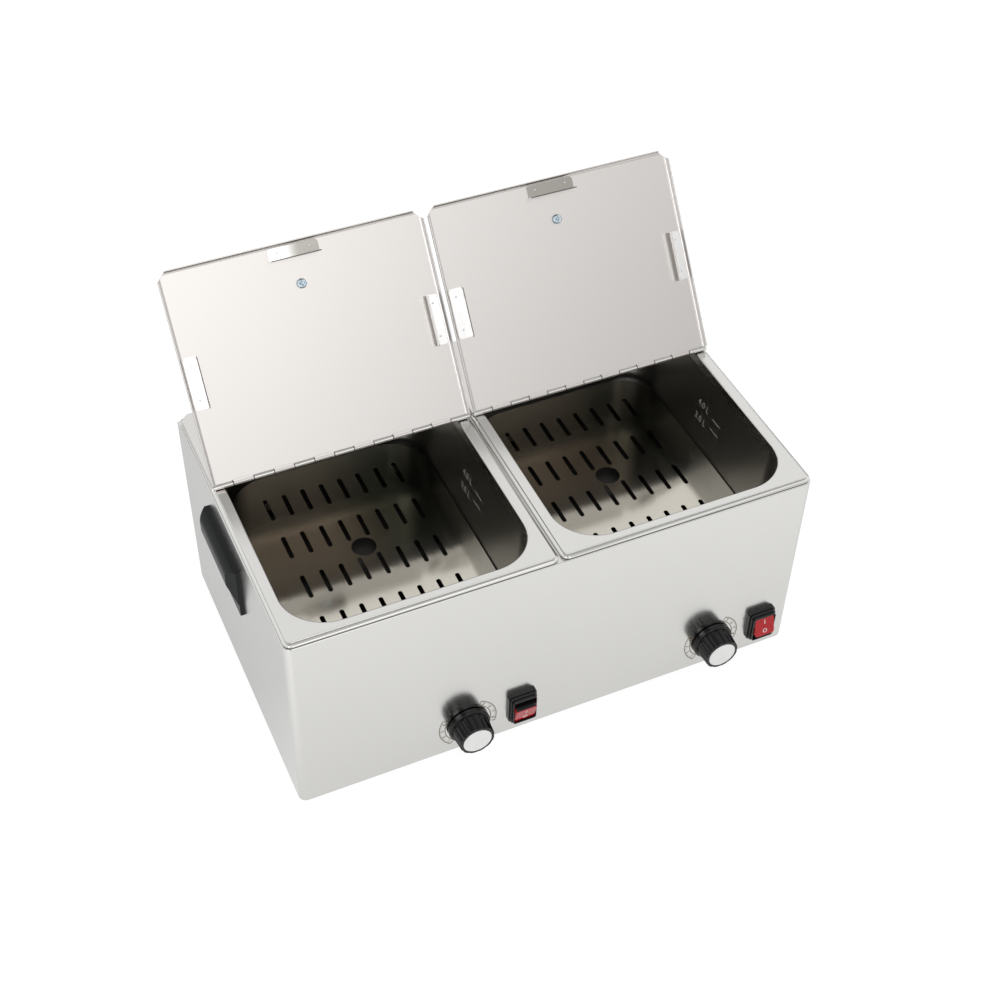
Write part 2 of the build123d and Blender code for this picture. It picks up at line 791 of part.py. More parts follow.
def make_switch():
    """Switch housing: stepped frame outside the panel and a box behind it, open for the rocker."""
    step_height = frame_reach / frame_step_count
    housing = None
    for index in range(frame_step_count):
        inset = index * frame_step_in
        outline = RectangleRounded(frame_width - 2 * inset, frame_height - 2 * inset, frame_corner)
        step = Pos(0, 0, index * step_height) * extrude(outline, step_height)
        housing = step if housing is None else housing + step
    housing += Box(switch_body_width, switch_body_height, switch_body_depth, align=hanging)
    opening = RectangleRounded(cavity_width, cavity_height, switch_cavity_corner)
    housing -= Pos(0, 0, -switch_cavity_depth) * extrude(opening, switch_cavity_depth + 2 * frame_reach)
    bore = Rot(0, 90, 0) * Cylinder(pivot_radius + pivot_clearance, pivot_span() + rocker_clearance)
    return housing - Pos(0, 0, -rocker_pivot_in) * bore


def pivot_span():
    return cavity_width + 2 * pivot_length


def make_rocker(tilt):
    """Cap-shaped rocker with a flat face, rounded at its edges, and a pivot stub at each side."""
    outline = RectangleRounded(rocker_width, rocker_height, rocker_corner)
    rocker = Pos(0, 0, -rocker_back) * extrude(outline, rocker_back + rocker_reach)
    rocker = fillet(rocker.edges().group_by(Axis.Z)[-1], rocker_edge)
    rocker += Rot(0, 90, 0) * Cylinder(pivot_radius, pivot_span())
    return Pos(0, 0, -rocker_pivot_in) * Rot(tilt, 0, 0) * rocker


def save(node, shape):
    export_step(shape, f"parts/{node}.step")


def save_shared_pieces():
    save("casing", make_casing())
    save("back_panel", make_back_panel())
    save("back_screws", make_back_screws())
    save("base_plate", make_base_plate())
    save("base_screws", make_base_screws())
    save("feet", make_feet())
    save("foot_screws", make_foot_screws())
    save("left_handle", make_handle(-1))
    save("right_handle", make_handle(1))
    save("handle_screws", make_handle_screws())
    save("cable_gland", make_cable_gland())
    save("gland_nut", make_gland_nut())
    save("terminal_block", make_terminal_block())
    save("terminal_screws", make_terminal_screws())


def save_wells():
    """Save the pieces of one well twice, once for each side."""
    pieces = {
        "pan": make_pan(),
        "cover": make_cover(),
        "hinge_pin": make_hinge_pin(),
        "lid": make_lid(),
        "lid_tabs": make_lid_tabs(),
        "lid_screw": make_lid_screw(),
        "lid_knob": make_lid_knob(),
        "heater": make_heater(),
        "heater_clamp": make_heater_clamp(),
        "clamp_nuts": make_clamp_nuts(),
    }
    plate = make_plate()
    for name, side, plate_shift in (("left", -1, left_plate_shift), ("right", 1, right_plate_shift)):
        well_place = Pos(side * well_pitch / 2, 0, 0)
        for piece, shape in pieces.items():
            save(f"{name}_{piece}", well_place * shape)
        save(f"{name}_plate", well_place * Pos(0, plate_shift, 0) * plate)


def save_controls():
    """Save the thermostat with its knob and the switch of each well, on the front panel."""
    knob_pieces = {
        "thermostat": make_thermostat(),
        "thermostat_screws": make_thermostat_screws(),
        "thermostat_shaft": make_thermostat_shaft(),
        "knob": make_knob(),
        "knob_cap": make_knob_cap(),
    }
    for name, side, tilt in (("left", -1, rocker_tilt), ("right", 1, -rocker_tilt)):
        knob_x = control_x(side)
        knob_place = Pos(knob_x, front_y, knob_z) * facing_front
        for piece, shape in knob_pieces.items():
            save(f"{name}_{piece}", knob_place * shape)
        switch_place = Pos(knob_x + switch_from_knob, front_y, switch_z) * facing_front
        save(f"{name}_switch", switch_place * make_switch())
        save(f"{name}_rocker", switch_place * make_rocker(tilt))


save_shared_pieces()
save_wells()
save_controls()
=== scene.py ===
"""Looks of the double sausage warmer: finishes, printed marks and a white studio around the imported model."""
import json
import math

import bmesh
import bpy
from mathutils import Matrix, Vector


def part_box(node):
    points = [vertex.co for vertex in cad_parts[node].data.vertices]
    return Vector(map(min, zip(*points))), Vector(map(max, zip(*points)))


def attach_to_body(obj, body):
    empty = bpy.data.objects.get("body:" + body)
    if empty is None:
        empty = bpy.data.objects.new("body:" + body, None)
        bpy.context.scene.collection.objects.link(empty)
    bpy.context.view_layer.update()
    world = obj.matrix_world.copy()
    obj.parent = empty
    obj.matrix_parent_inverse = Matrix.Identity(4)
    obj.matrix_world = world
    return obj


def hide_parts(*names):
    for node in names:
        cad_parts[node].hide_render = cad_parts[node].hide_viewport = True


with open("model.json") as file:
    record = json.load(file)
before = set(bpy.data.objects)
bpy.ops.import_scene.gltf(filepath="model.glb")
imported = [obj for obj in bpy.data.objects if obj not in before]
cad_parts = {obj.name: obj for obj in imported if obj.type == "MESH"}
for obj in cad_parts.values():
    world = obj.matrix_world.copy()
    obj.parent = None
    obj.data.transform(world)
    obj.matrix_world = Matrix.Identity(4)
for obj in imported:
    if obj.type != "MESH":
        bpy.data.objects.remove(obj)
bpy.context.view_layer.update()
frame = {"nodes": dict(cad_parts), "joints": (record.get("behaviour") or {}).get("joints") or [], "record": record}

MM = 0.001
SIDES = ("left", "right")
QUARTER_TURN = math.radians(90)

# Camera of the photograph, fitted to the casing edges
CAMERA_PLACE = Vector((-0.4947, -1.0730, 1.3454))
CAMERA_AZIMUTH = math.radians(-25.25)
CAMERA_ELEVATION = math.radians(44.88)
CAMERA_ROLL = math.radians(1.43)
CAMERA_REACH = 50
FOCAL_PIXELS = 1656.24
IMAGE_PIXELS = 1000
SENSOR_MM = 36.0

# Edge finish of the pieces
SHEET_EDGE = 0.25 * MM
MOULDED_EDGE = 0.5 * MM
GRIP_EDGE = 1.0 * MM
EDGE_SEGMENTS = 2
EDGE_ANGLE = math.radians(40)
SMOOTH_ANGLE = math.radians(32)
FLAT_ANGLE = 0.002
MERGE_DISTANCE = 0.001 * MM

# Parts of a face's unit normal: the least along an axis that it faces, the least downwards on the inside of
# a cover and on the end of a lip, and the most up or down on an upright face of a rim
FACING_PART = 0.6
COVER_INSIDE_PART = 0.8
LIP_END_PART = 0.3
UPRIGHT_PART = 0.3

# Scale of the noise in the steel along x, y and z, in cycles per metre
CASING_GRAIN = (14, 14, 1400)
PAN_GRAIN = (14, 900, 900)
LID_GRAIN = (900, 14, 14)
TAB_GRAIN = (300, 300, 300)
HINGE_GRAIN = (900, 900, 900)
ZINC_GRAIN = (700, 700, 700)
HEATER_GRAIN = (200, 200, 200)
STEEL_CLOUDS = (9, 9, 9)
STEEL_BUMP = 0.01 * MM
LID_BUMP = 0.002 * MM

# Steel tones that more than one finish uses; the bright tab tone is also the painted light on lips and edges
RIM_TONE = (0.73, 0.725, 0.705)
BRIGHT_TAB_TONE = (0.90, 0.895, 0.885)

# Skin of the plastic: scale of its clouds, spread of its roughness and roughness of its coat
PLASTIC_CLOUDS = (60, 60, 60)
PLASTIC_SPREAD = 0.04
PLASTIC_COAT_ROUGHNESS = 0.08

# Part of a noise's range that the finishes use
NOISE_LOW = 0.3
NOISE_HIGH = 0.7

# Bent edges of the lids, which carry painted shade from this far off the hinge
LID_EDGE_FROM_HINGE = 8 * MM

# Spot welds on the lid tabs, placed in the lid from its hinge and its middle
WELD_SPACING = 33 * MM
WELD_RADIUS = 1.1 * MM
WELD_HEIGHT = 0.3 * MM
WELD_SEGMENTS = 16
WELD_RINGS = 8
TAB_UNDERSIDE = -0.8 * MM
FRONT_TAB_FROM_HINGE = 199 * MM
SIDE_TAB_FROM_HINGE = 100.2 * MM
SIDE_TAB_FROM_MIDDLE = 122 * MM

# Lips of the lid tabs, in heights of the lid's frame: where their ends lie, and over which the shade by the
# lid sets in
LIP_END_DEPTH = -3 * MM
LIP_SHADE_DEPTH = (-5.5 * MM, -4.5 * MM)

# Part of the front tabs with painted shade: the heights and the stretch along x over which it sets in
PAINTED_TAB_SHADE_HEIGHT = (0.37, 0.38)
PAINTED_TAB_SHADE_START = (-0.150, -0.128)

# Knuckles of each hinge: the painted shade in the gaps between them and the flush tongues of the lid's knuckles
KNUCKLE_COUNT = 13
KNUCKLE_RADIUS = 2.1 * MM
KNUCKLE_GAP_WIDTH = 0.9 * MM
KNUCKLE_GAP_CORNERS = 24
TONGUE_FROM_HINGE = 2.35 * MM
TONGUE_DEPTH = -0.8 * MM
TONGUE_WIDTH = 2.2 * MM
TONGUE_THICKNESS = 2.0 * MM

# Printed dial around each knob
DIAL_INNER_RADIUS = 24.8 * MM
DIAL_OUTER_RADIUS = 30.8 * MM
DIAL_LINE = 0.9 * MM
DIAL_TICK_LENGTH = 1.4 * MM
DIAL_TICK_WIDTH = 0.5 * MM
DIAL_TICK_COUNT = 13
DIAL_NUMBER_COUNT = 4
DIAL_NUMBER_HEIGHT = 3.2 * MM
DIAL_NUMBER_RADIUS = 27.0 * MM
DIAL_NUMBER_BOLDNESS = 0.12 * MM
DIAL_BAND_STARTS = (math.radians(150), math.radians(-20))
DIAL_BAND_SWEEP = math.radians(82)
DIAL_BAND_SEGMENTS = 48
DIAL_BAND_END = DIAL_LINE / DIAL_OUTER_RADIUS
DIAL_END_SEGMENTS = 2
PRINT_THICKNESS = 0.04 * MM

# Lettering: height of a digit as a part of the font's size, and steps in its curves
DIGIT_PART = 0.7
DIGIT_STEPS = 3

# Marks on the face of each rocker
ROCKER_FACE_FROM_PIVOT = 13.5 * MM
ROCKER_MARK_HEIGHT = 5.0 * MM
ROCKER_MARK_STROKE = 0.8 * MM
ROCKER_MARK_OFFSET = 5.4 * MM
ROCKER_RING_SEGMENTS = 32

# Etched level marks on the right wall of each well: number, height of its foot and height of its line
LEVEL_MARKS = (("4.0 L", 0.1950, 0.1966), ("3.0 L", 0.1777, 0.1847))
LEVEL_NUMBER_HEIGHT = 7.5 * MM
LEVEL_NUMBER_MIDDLE_Y = 0.0110
LEVEL_LINE_LENGTH = 15.5 * MM
LEVEL_LINE_WIDTH = 1.0 * MM
LEVEL_LINE_MIDDLE_Y = -0.0162

# Wells: half their width at the top of the rim, the slope of their walls, and the heights over which the
# finish goes from the floor's deep painted shade to the wall's painted shade and from the wall to the rim
WELL_HALF_WIDTH = 120 * MM
WELL_DRAFT = math.radians(7.5)
RIM_TOP = 0.241
WELL_FLOOR = (0.143, 0.150)
WELL_EDGE = (0.229, 0.2355)

# Plates: the heights over which the finish goes from painted shade on the legs to the sheet, and the stretches
# along y over which the sheet gets duller and goes into painted shade under the cover
PLATE_UNDERSIDE = (0.1512, 0.1516)
PLATE_DULLING = (-0.06, 0.02)
PLATE_BACK = (0.046, 0.066)

# Thin shade lines on the skirt and the step of the rim: heights and how dark they are there
RIM_SKIRT_BOTTOM = 0.2359
RIM_SHADE = (
    (0.2360, 1), (0.2367, 1), (0.2371, 0), (0.2390, 0),
    (0.2391, 1), (0.2395, 1), (0.2398, 0), (0.2410, 0),
)

# Where the inside of each cover goes from painted warm light to painted shade, along x
COVER_DARKENING = {"left": (-0.145, -0.055), "right": (0.17, 0.25)}

# Cross recess of the small screws, and how near to a head's outer end a corner lies that belongs to its top
RECESS_LENGTH = 3.6 * MM
RECESS_WIDTH = 0.8 * MM
SCREW_TOP_DEPTH = 0.01 * MM

# Studio floor: paleness for stray light and where it is seen, own light towards the camera, then its levels
# in mirror-like surfaces along y and x, with painted shade near and behind the casing
FLOOR_HALF_SIZE = 6
FLOOR_ROUGHNESS = 0.9
FLOOR_PALENESS = (0.85, 0.25)
FLOOR_TO_CAMERA = 0.85
FLOOR_LEVELS = ((-0.36, 0.95), (-0.17, 0.79), (0.0, 0.58), (0.4, 0.54), (0.9, 0.40))
FLOOR_SHADE = ((-0.40, 1.0), (-0.34, 0.97), (-0.28, 0.87))

# Studio light from all around, by direction: levels and height of the dimmer part overhead, then the front
# light with its reach, its strength and its levels across and upwards
OVERHEAD_LEVELS = (0.98, 0.55)
OVERHEAD_HEIGHT = (0.77, 0.92)
FRONT_REACH = (-0.6, -0.2)
FRONT_STRENGTH = 2.05
FRONT_LEVELS_ACROSS = ((-0.3, 0.2), (-0.12, 0.3), (0.0, 0.95), (0.16, 1.0), (0.28, 0.66), (0.45, 0.50))
FRONT_LEVELS_UPWARDS = ((0.38, 0.55), (0.44, 0.78), (0.54, 1.0), (0.7, 1.0))

# Key lamp
KEY_PLACE = Vector((-1.6, -1.9, 1.5))
KEY_TARGET = Vector((0, 0, 0.2))
KEY_SIZE = 1.2
KEY_WATTS = 14

# Sockets of a Mix node that mixes colours
MIX_SHARE = 0
MIX_FIRST = 6
MIX_SECOND = 7
MIX_RESULT = 2

record = frame["record"]
body_of_node = {node: body for body, nodes in record["behaviour"]["bodies"].items() for node in nodes}
slot_of_node = {row["node"]: row["material_slot"] for row in record["subparts"]}
joint_named = {joint["name"]: joint for joint in frame["joints"]}


def set_inputs(tree, node, inputs):
    """Inputs of a node by name or number, each linked from a socket or set to a plain value."""
    for key, value in inputs.items():
        if isinstance(value, bpy.types.NodeSocket):
            tree.links.new(value, node.inputs[key])
        else:
            node.inputs[key].default_value = value


def add_node(tree, kind, inputs):
    """New node with its inputs."""
    node = tree.nodes.new(kind)
    set_inputs(tree, node, inputs)
    return node


def new_material(name):
    """Empty node material, with its tree and its Principled shader."""
    material = bpy.data.materials.new(name)
    material.use_nodes = True
    return material, material.node_tree, material.node_tree.nodes["Principled BSDF"]


def new_steel(name):
    material, tree, shader = new_material(name)
    shader.inputs["Metallic"].default_value = 1.0
    return material, tree, shader


def coordinate_axes(tree, kind="Object"):
    """X, Y and Z of the coordinates, by name."""
    coordinates = add_node(tree, "ShaderNodeTexCoord", {})
    return add_node(tree, "ShaderNodeSeparateXYZ", {"Vector": coordinates.outputs[kind]}).outputs


def object_noise(tree, stretch, detail=3.0, roughness=0.6):
    """Noise on Object coordinates, scaled per axis, in cycles per metre."""
    coordinates = add_node(tree, "ShaderNodeTexCoord", {})
    mapping = add_node(tree, "ShaderNodeMapping", {"Vector": coordinates.outputs["Object"], "Scale": stretch})
    inputs = {"Vector": mapping.outputs["Vector"], "Scale": 1.0, "Detail": detail, "Roughness": roughness}
    return add_node(tree, "ShaderNodeTexNoise", inputs).outputs["Fac"]


def hairline_noise(tree, grain):
    return object_noise(tree, grain, detail=4.0, roughness=0.7)


def ranged(tree, value, low, high, from_low=NOISE_LOW, from_high=NOISE_HIGH, smooth=False):
    """Value stretched from one span to another and held at its ends."""
    span = tree.nodes.new("ShaderNodeMapRange")
    span.interpolation_type = "SMOOTHSTEP" if smooth else "LINEAR"
    set_inputs(tree, span, {
        "Value": value,
        "From Min": from_low,
        "From Max": from_high,
        "To Min": low,
        "To Max": high,
    })
    return span.outputs["Result"]


def grey(level):
    return (level, level, level, 1)


def levels(tree, value, stops):
    """Level that runs from stop to stop along a value; each stop is a value and its level."""
    low, first_level = stops[0]
    high, last_level = stops[-1]
    ramp = add_node(tree, "ShaderNodeValToRGB", {"Fac": ranged(tree, value, 0, 1, low, high)})
    elements = ramp.color_ramp.elements
    elements[0].color = grey(first_level)
    elements[1].color = grey(last_level)
    for place, level in stops[1:-1]:
        elements.new((place - low) / (high - low)).color = grey(level)
    return ramp.outputs["Color"]


def calculated(tree, operation, first, second):
    """Result of a Math node; either side may be a socket or a number."""
    node = tree.nodes.new("ShaderNodeMath")
    node.operation = operation
    set_inputs(tree, node, {0: first, 1: second})
    return node.outputs["Value"]


def blended(tree, share, first, second):
    """Colour that goes from the first to the second as the share goes from 0 to 1."""
    blend = tree.nodes.new("ShaderNodeMix")
    blend.data_type = "RGBA"
    set_inputs(tree, blend, {MIX_SHARE: share, MIX_FIRST: first, MIX_SECOND: second})
    return blend.outputs[MIX_RESULT]


def bumped(tree, shader, height, distance, strength=0.2):
    bump = add_node(tree, "ShaderNodeBump", {"Height": height, "Strength": strength, "Distance": distance})
    set_inputs(tree, shader, {"Normal": bump.outputs["Normal"]})


def two_tone(tree, noise, colour, contrast):
    """Colour that runs with a noise from a little darker to a little lighter."""
    ramp = add_node(tree, "ShaderNodeValToRGB", {"Fac": noise})
    ends = ((NOISE_LOW, 1 - contrast), (NOISE_HIGH, 1 + contrast))
    for element, (place, factor) in zip(ramp.color_ramp.elements, ends):
        element.position = place
        element.color = (*(min(1.0, part * factor) for part in colour), 1)
    return ramp.outputs["Color"]


def steel_tone(tree, hairlines, colour, contrast=0.02):
    """Steel colour with a little of the hairlines and of wide, faint clouds in it."""
    clouds = object_noise(tree, STEEL_CLOUDS, detail=2.0)
    half_clouds = calculated(tree, "MULTIPLY", clouds, 0.5)
    half_hairlines = calculated(tree, "MULTIPLY", hairlines, 0.5)
    return two_tone(tree, calculated(tree, "ADD", half_clouds, half_hairlines), colour, contrast)


def brushed_steel(name, colour, roughness, spread, grain, contrast=0.02, bump=STEEL_BUMP):
    """Stainless sheet with hairlines; the spread is that of its roughness."""
    material, tree, shader = new_steel(name)
    hairlines = hairline_noise(tree, grain)
    set_inputs(tree, shader, {
        "Base Color": steel_tone(tree, hairlines, colour, contrast),
        "Roughness": ranged(tree, hairlines, roughness - spread, roughness + spread),
    })
    bumped(tree, shader, hairlines, bump)
    return material


def pan_steel_painted_shade():
    """Deep-drawn pan: a bright rim on top, painted shade on the walls below it and a dull floor in deeper painted
    shade.
    """
    material, tree, shader = new_steel("pan_steel_painted_shade")
    hairlines = hairline_noise(tree, PAN_GRAIN)
    height = coordinate_axes(tree)["Z"]
    on_rim = ranged(tree, height, 0, 1, *WELL_EDGE, smooth=True)
    above_floor = ranged(tree, height, 0, 1, *WELL_FLOOR, smooth=True)
    rim_tone = steel_tone(tree, hairlines, RIM_TONE, 0.015)
    # The walls and the floor of the well get painted shade
    painted_wall_shade_tone = steel_tone(tree, hairlines, (0.36, 0.355, 0.335))
    painted_floor_shade_tone = steel_tone(tree, hairlines, (0.10, 0.097, 0.09))
    well_tone = blended(tree, above_floor, painted_floor_shade_tone, painted_wall_shade_tone)
    grain = ranged(tree, hairlines, -0.02, 0.02)
    wall_roughness = ranged(tree, on_rim, 0.3, 0.2, 0, 1)
    floor_roughness = ranged(tree, above_floor, 0.3, 0, 0, 1)
    roughness = calculated(tree, "ADD", wall_roughness, floor_roughness)
    set_inputs(tree, shader, {
        "Base Color": blended(tree, on_rim, well_tone, rim_tone),
        "Roughness": calculated(tree, "ADD", grain, roughness),
    })
    bumped(tree, shader, hairlines, STEEL_BUMP, strength=0.15)
    return material


def rolled_plate_steel():
    """Rolled plate: bright in front, duller towards the back, with painted shade under the cover and on the legs
    below.
    """
    material, tree, shader = new_steel("rolled_plate_steel")
    hairlines = hairline_noise(tree, PAN_GRAIN)
    place = coordinate_axes(tree)
    above_legs = ranged(tree, place["Z"], 0, 1, *PLATE_UNDERSIDE)
    under_cover = ranged(tree, place["Y"], 0, 1, *PLATE_BACK, smooth=True)
    # The legs under the plate and the back of the sheet under the cover get painted shade
    painted_leg_shade_tone = steel_tone(tree, hairlines, (0.12, 0.115, 0.105))
    open_tone = steel_tone(tree, hairlines, (0.60, 0.572, 0.505))
    painted_shade_under_cover_tone = steel_tone(tree, hairlines, (0.34, 0.34, 0.31))
    plate_tone = blended(tree, under_cover, open_tone, painted_shade_under_cover_tone)
    grain = ranged(tree, hairlines, -0.01, 0.01)
    roughness = ranged(tree, place["Y"], 0.09, 0.17, *PLATE_DULLING, smooth=True)
    set_inputs(tree, shader, {
        "Base Color": blended(tree, above_legs, painted_leg_shade_tone, plate_tone),
        "Roughness": calculated(tree, "ADD", grain, roughness),
    })
    bumped(tree, shader, hairlines, STEEL_BUMP)
    return material


def lined_rim_steel():
    """Outer faces of a pan's rim, with a thin shade line above the casing and one above the ledge."""
    material, tree, shader = new_steel("lined_rim_steel")
    hairlines = hairline_noise(tree, PAN_GRAIN)
    shade = levels(tree, coordinate_axes(tree)["Z"], RIM_SHADE)
    rim_tone = steel_tone(tree, hairlines, RIM_TONE, 0.015)
    line_tone = steel_tone(tree, hairlines, (0.16, 0.155, 0.145), 0.015)
    set_inputs(tree, shader, {
        "Base Color": blended(tree, shade, rim_tone, line_tone),
        "Roughness": ranged(tree, hairlines, 0.18, 0.22),
    })
    return material


def cover_inside_steel(side):
    """Inside of a cover, with painted warm light on its left and painted shade on its right."""
    material, tree, shader = new_steel(f"{side}_cover_inside_steel")
    hairlines = hairline_noise(tree, LID_GRAIN)
    to_the_right = ranged(tree, coordinate_axes(tree)["X"], 0, 1, *COVER_DARKENING[side], smooth=True)
    # Painted warm light on the left of the cover's inside and painted shade on its right
    painted_warm_light_tone = steel_tone(tree, hairlines, (0.98, 0.84, 0.78), 0.01)
    painted_shade_tone = steel_tone(tree, hairlines, (0.36, 0.38, 0.34), 0.01)
    set_inputs(tree, shader, {
        "Base Color": blended(tree, to_the_right, painted_warm_light_tone, painted_shade_tone),
        "Roughness": ranged(tree, hairlines, 0.21, 0.23),
    })
    return material


def tab_steel_painted_shade():
    """Bright tabs, with painted shade where the front tabs lie right of the middle of the left lid."""
    material, tree, shader = new_steel("tab_steel_painted_shade")
    grain = object_noise(tree, TAB_GRAIN)
    place = coordinate_axes(tree)
    high_up = ranged(tree, place["Z"], 0, 1, *PAINTED_TAB_SHADE_HEIGHT)
    to_the_right = ranged(tree, place["X"], 0, 1, *PAINTED_TAB_SHADE_START, smooth=True)
    painted_shade = calculated(tree, "MULTIPLY", high_up, to_the_right)
    bright_tone = steel_tone(tree, grain, BRIGHT_TAB_TONE, 0.01)
    # Painted shade on the front tabs right of the middle of the left lid
    painted_tab_shade_tone = steel_tone(tree, grain, (0.34, 0.325, 0.30), 0.03)
    set_inputs(tree, shader, {
        "Base Color": blended(tree, painted_shade, bright_tone, painted_tab_shade_tone),
        "Roughness": ranged(tree, grain, 0.06, 0.10),
    })
    return material


def moulded_plastic(name, colour, roughness, grain=900, bump=0.03 * MM, gloss=0.5, coat=0.0, contrast=0.1):
    """Moulded plastic with a faint skin and a slight change of tone."""
    material, tree, shader = new_material(name)
    skin = object_noise(tree, (grain, grain, grain), detail=2.0)
    clouds = object_noise(tree, PLASTIC_CLOUDS, detail=2.0)
    set_inputs(tree, shader, {
        "Base Color": two_tone(tree, clouds, colour, contrast),
        "Roughness": ranged(tree, clouds, roughness - PLASTIC_SPREAD, roughness + PLASTIC_SPREAD),
        "Specular IOR Level": gloss,
        "Coat Weight": coat,
        "Coat Roughness": PLASTIC_COAT_ROUGHNESS,
    })
    bumped(tree, shader, skin, bump)
    return material


casing_steel = brushed_steel("casing_steel", (0.70, 0.695, 0.675), 0.19, 0.03, CASING_GRAIN, contrast=0.012)
plate_steel = rolled_plate_steel()
lid_sheet = {"grain": LID_GRAIN, "contrast": 0.004, "bump": LID_BUMP}
lid_steel = brushed_steel("lid_steel", (0.668, 0.641, 0.619), 0.28, 0.006, **lid_sheet)
cover_steel = brushed_steel("cover_steel", (0.72, 0.71, 0.69), 0.26, 0.006, **lid_sheet)
# Painted shade on the bent edges of the lids
shaded_lid_edge_steel = brushed_steel("shaded_lid_edge_steel", (0.56, 0.535, 0.49), 0.4, 0.02, TAB_GRAIN)
tab_steel = tab_steel_painted_shade()
# Painted light for lips and inside each lid's right edge, then painted shade for the ends of lips
bright_lip_steel = brushed_steel("bright_lip_steel", BRIGHT_TAB_TONE, 0.5, 0.02, TAB_GRAIN)
lip_end_steel = brushed_steel("lip_end_steel", (0.13, 0.12, 0.115), 0.4, 0.02, TAB_GRAIN)
weld_steel = brushed_steel("weld_steel", (0.66, 0.66, 0.66), 0.25, 0.05, HINGE_GRAIN)
hinge_steel = brushed_steel("hinge_steel", (0.6, 0.6, 0.58), 0.25, 0.05, HINGE_GRAIN)
zinc_plate = brushed_steel("zinc_plate", (0.60, 0.70, 0.78), 0.25, 0.06, ZINC_GRAIN, contrast=0.05)
# Painted shade for the gaps of the hinges and the recesses of the screws
recess_shade = moulded_plastic("recess_shade", (0.03, 0.032, 0.035), 0.5)
heater_metal = brushed_steel("heater_metal", (0.6, 0.6, 0.6), 0.45, 0.08, HEATER_GRAIN, contrast=0.04)
pan_steel = pan_steel_painted_shade()
rim_edge_steel = lined_rim_steel()
black_moulding = moulded_plastic("black_moulding", (0.006, 0.006, 0.0065), 0.25, gloss=0.4)
knob_moulding = moulded_plastic("knob_moulding", (0.003, 0.003, 0.0033), 0.12, gloss=0.35)
grip_skin = {"grain": 1500, "bump": 0.04 * MM, "gloss": 0.2}
grip_moulding = moulded_plastic("grip_moulding", (0.010, 0.011, 0.012), 0.38, **grip_skin)
rocker_red = moulded_plastic("rocker_red", (0.46, 0.007, 0.012), 0.15, gloss=0.3, coat=0.1)
cap_white = moulded_plastic("cap_white", (0.89, 0.895, 0.88), 0.35, contrast=0.02)
foot_rubber = moulded_plastic("foot_rubber", (0.02, 0.02, 0.02), 0.7)
inner_plastic = moulded_plastic("inner_plastic", (0.05, 0.05, 0.05), 0.5)
ceramic_white = moulded_plastic("ceramic_white", (0.78, 0.76, 0.7), 0.6)
dial_brown = moulded_plastic("dial_brown", (0.24, 0.20, 0.13), 0.5)
rocker_print = moulded_plastic("rocker_print", (0.85, 0.72, 0.70), 0.4)
etched_mark = moulded_plastic("etched_mark", (0.38, 0.375, 0.36), 0.6)


def give_material(mesh, material):
    mesh.materials.clear()
    mesh.materials.append(material)


def make_object(name, mesh, material):
    piece = bpy.data.objects.new(name, mesh)
    bpy.context.scene.collection.objects.link(piece)
    give_material(mesh, material)
    return piece


def applied(piece):
    """Turn a piece with live modifiers into one with a plain mesh."""
    evaluated = piece.evaluated_get(bpy.context.evaluated_depsgraph_get())
    piece.data = bpy.data.meshes.new_from_object(evaluated)
    piece.modifiers.clear()
    return piece


def attach(piece, body, slot):
    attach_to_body(piece, body)


def merged_shape(mesh):
    """Editable copy of a mesh, with the corners merged that lie in one place."""
    shape = bmesh.new()
    shape.from_mesh(mesh)
    bmesh.ops.remove_doubles(shape, verts=shape.verts, dist=MERGE_DISTANCE)
    return shape


def dress(node, material, edge):
    """Stand a smooth copy of a CAD node, with softened edges, in the node's place."""
    mesh = frame["nodes"][node].data.copy()
    shape = merged_shape(mesh)
    if edge:
        bmesh.ops.dissolve_limit(shape, angle_limit=FLAT_ANGLE, verts=shape.verts, edges=shape.edges)
    shape.to_mesh(mesh)
    shape.free()
    piece = make_object(f"{node}_finish", mesh, material)
    mesh.polygons.foreach_set("use_smooth", [True] * len(mesh.polygons))
    mesh.set_sharp_from_angle(angle=SMOOTH_ANGLE)
    if edge:
        bevel = piece.modifiers.new("softened_edges", "BEVEL")
        bevel.width = edge
        bevel.segments = EDGE_SEGMENTS
        bevel.limit_method = "ANGLE"
        bevel.angle_limit = EDGE_ANGLE
    flatten = piece.modifiers.new("flat_faces", "WEIGHTED_NORMAL")
    flatten.keep_sharp = True
    applied(piece)
    attach(piece, body_of_node[node], slot_of_node[node])
    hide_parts(node)
    return piece


def paint(node, material):
    """Give an unchanged CAD node a finish."""
    give_material(frame["nodes"][node].data, material)


def dress_shared_pieces():
    for node in ("casing", "back_panel", "base_plate"):
        dress(node, casing_steel, SHEET_EDGE)
    for node in ("left_handle", "right_handle"):
        dress(node, grip_moulding, GRIP_EDGE)
    dress("feet", foot_rubber, MOULDED_EDGE)
    dress("cable_gland", inner_plastic, SHEET_EDGE)
    for node in ("back_screws", "base_screws", "foot_screws", "handle_screws", "terminal_screws"):
        paint(node, zinc_plate)
    paint("gland_nut", inner_plastic)
    paint("terminal_block", ceramic_white)


def lid_place(side):
    """Lid frame as it stands open: x across, y from the hinge to the far edge, z out of the lid's top."""
    hinge = joint_named[f"{side}_lid_hinge"]
    opened = math.radians(hinge["range_deg"][0])
    turn = Matrix.Rotation(opened, 4, "X") @ Matrix.Rotation(math.pi, 4, "Z")
    return Matrix.Translation(hinge["pos_m"]) @ turn


def faces_in_lid(piece, side):
    """Each face of a piece on a lid, with its middle and its normal in the lid's frame."""
    to_lid = lid_place(side).inverted()
    for face in piece.data.polygons:
        yield face, to_lid @ face.center, to_lid.to_3x3() @ face.normal


def added_finish(piece, material):
    """Give a piece one more material, and return the number that its faces choose it by."""
    piece.data.materials.append(material)
    return len(piece.data.materials) - 1


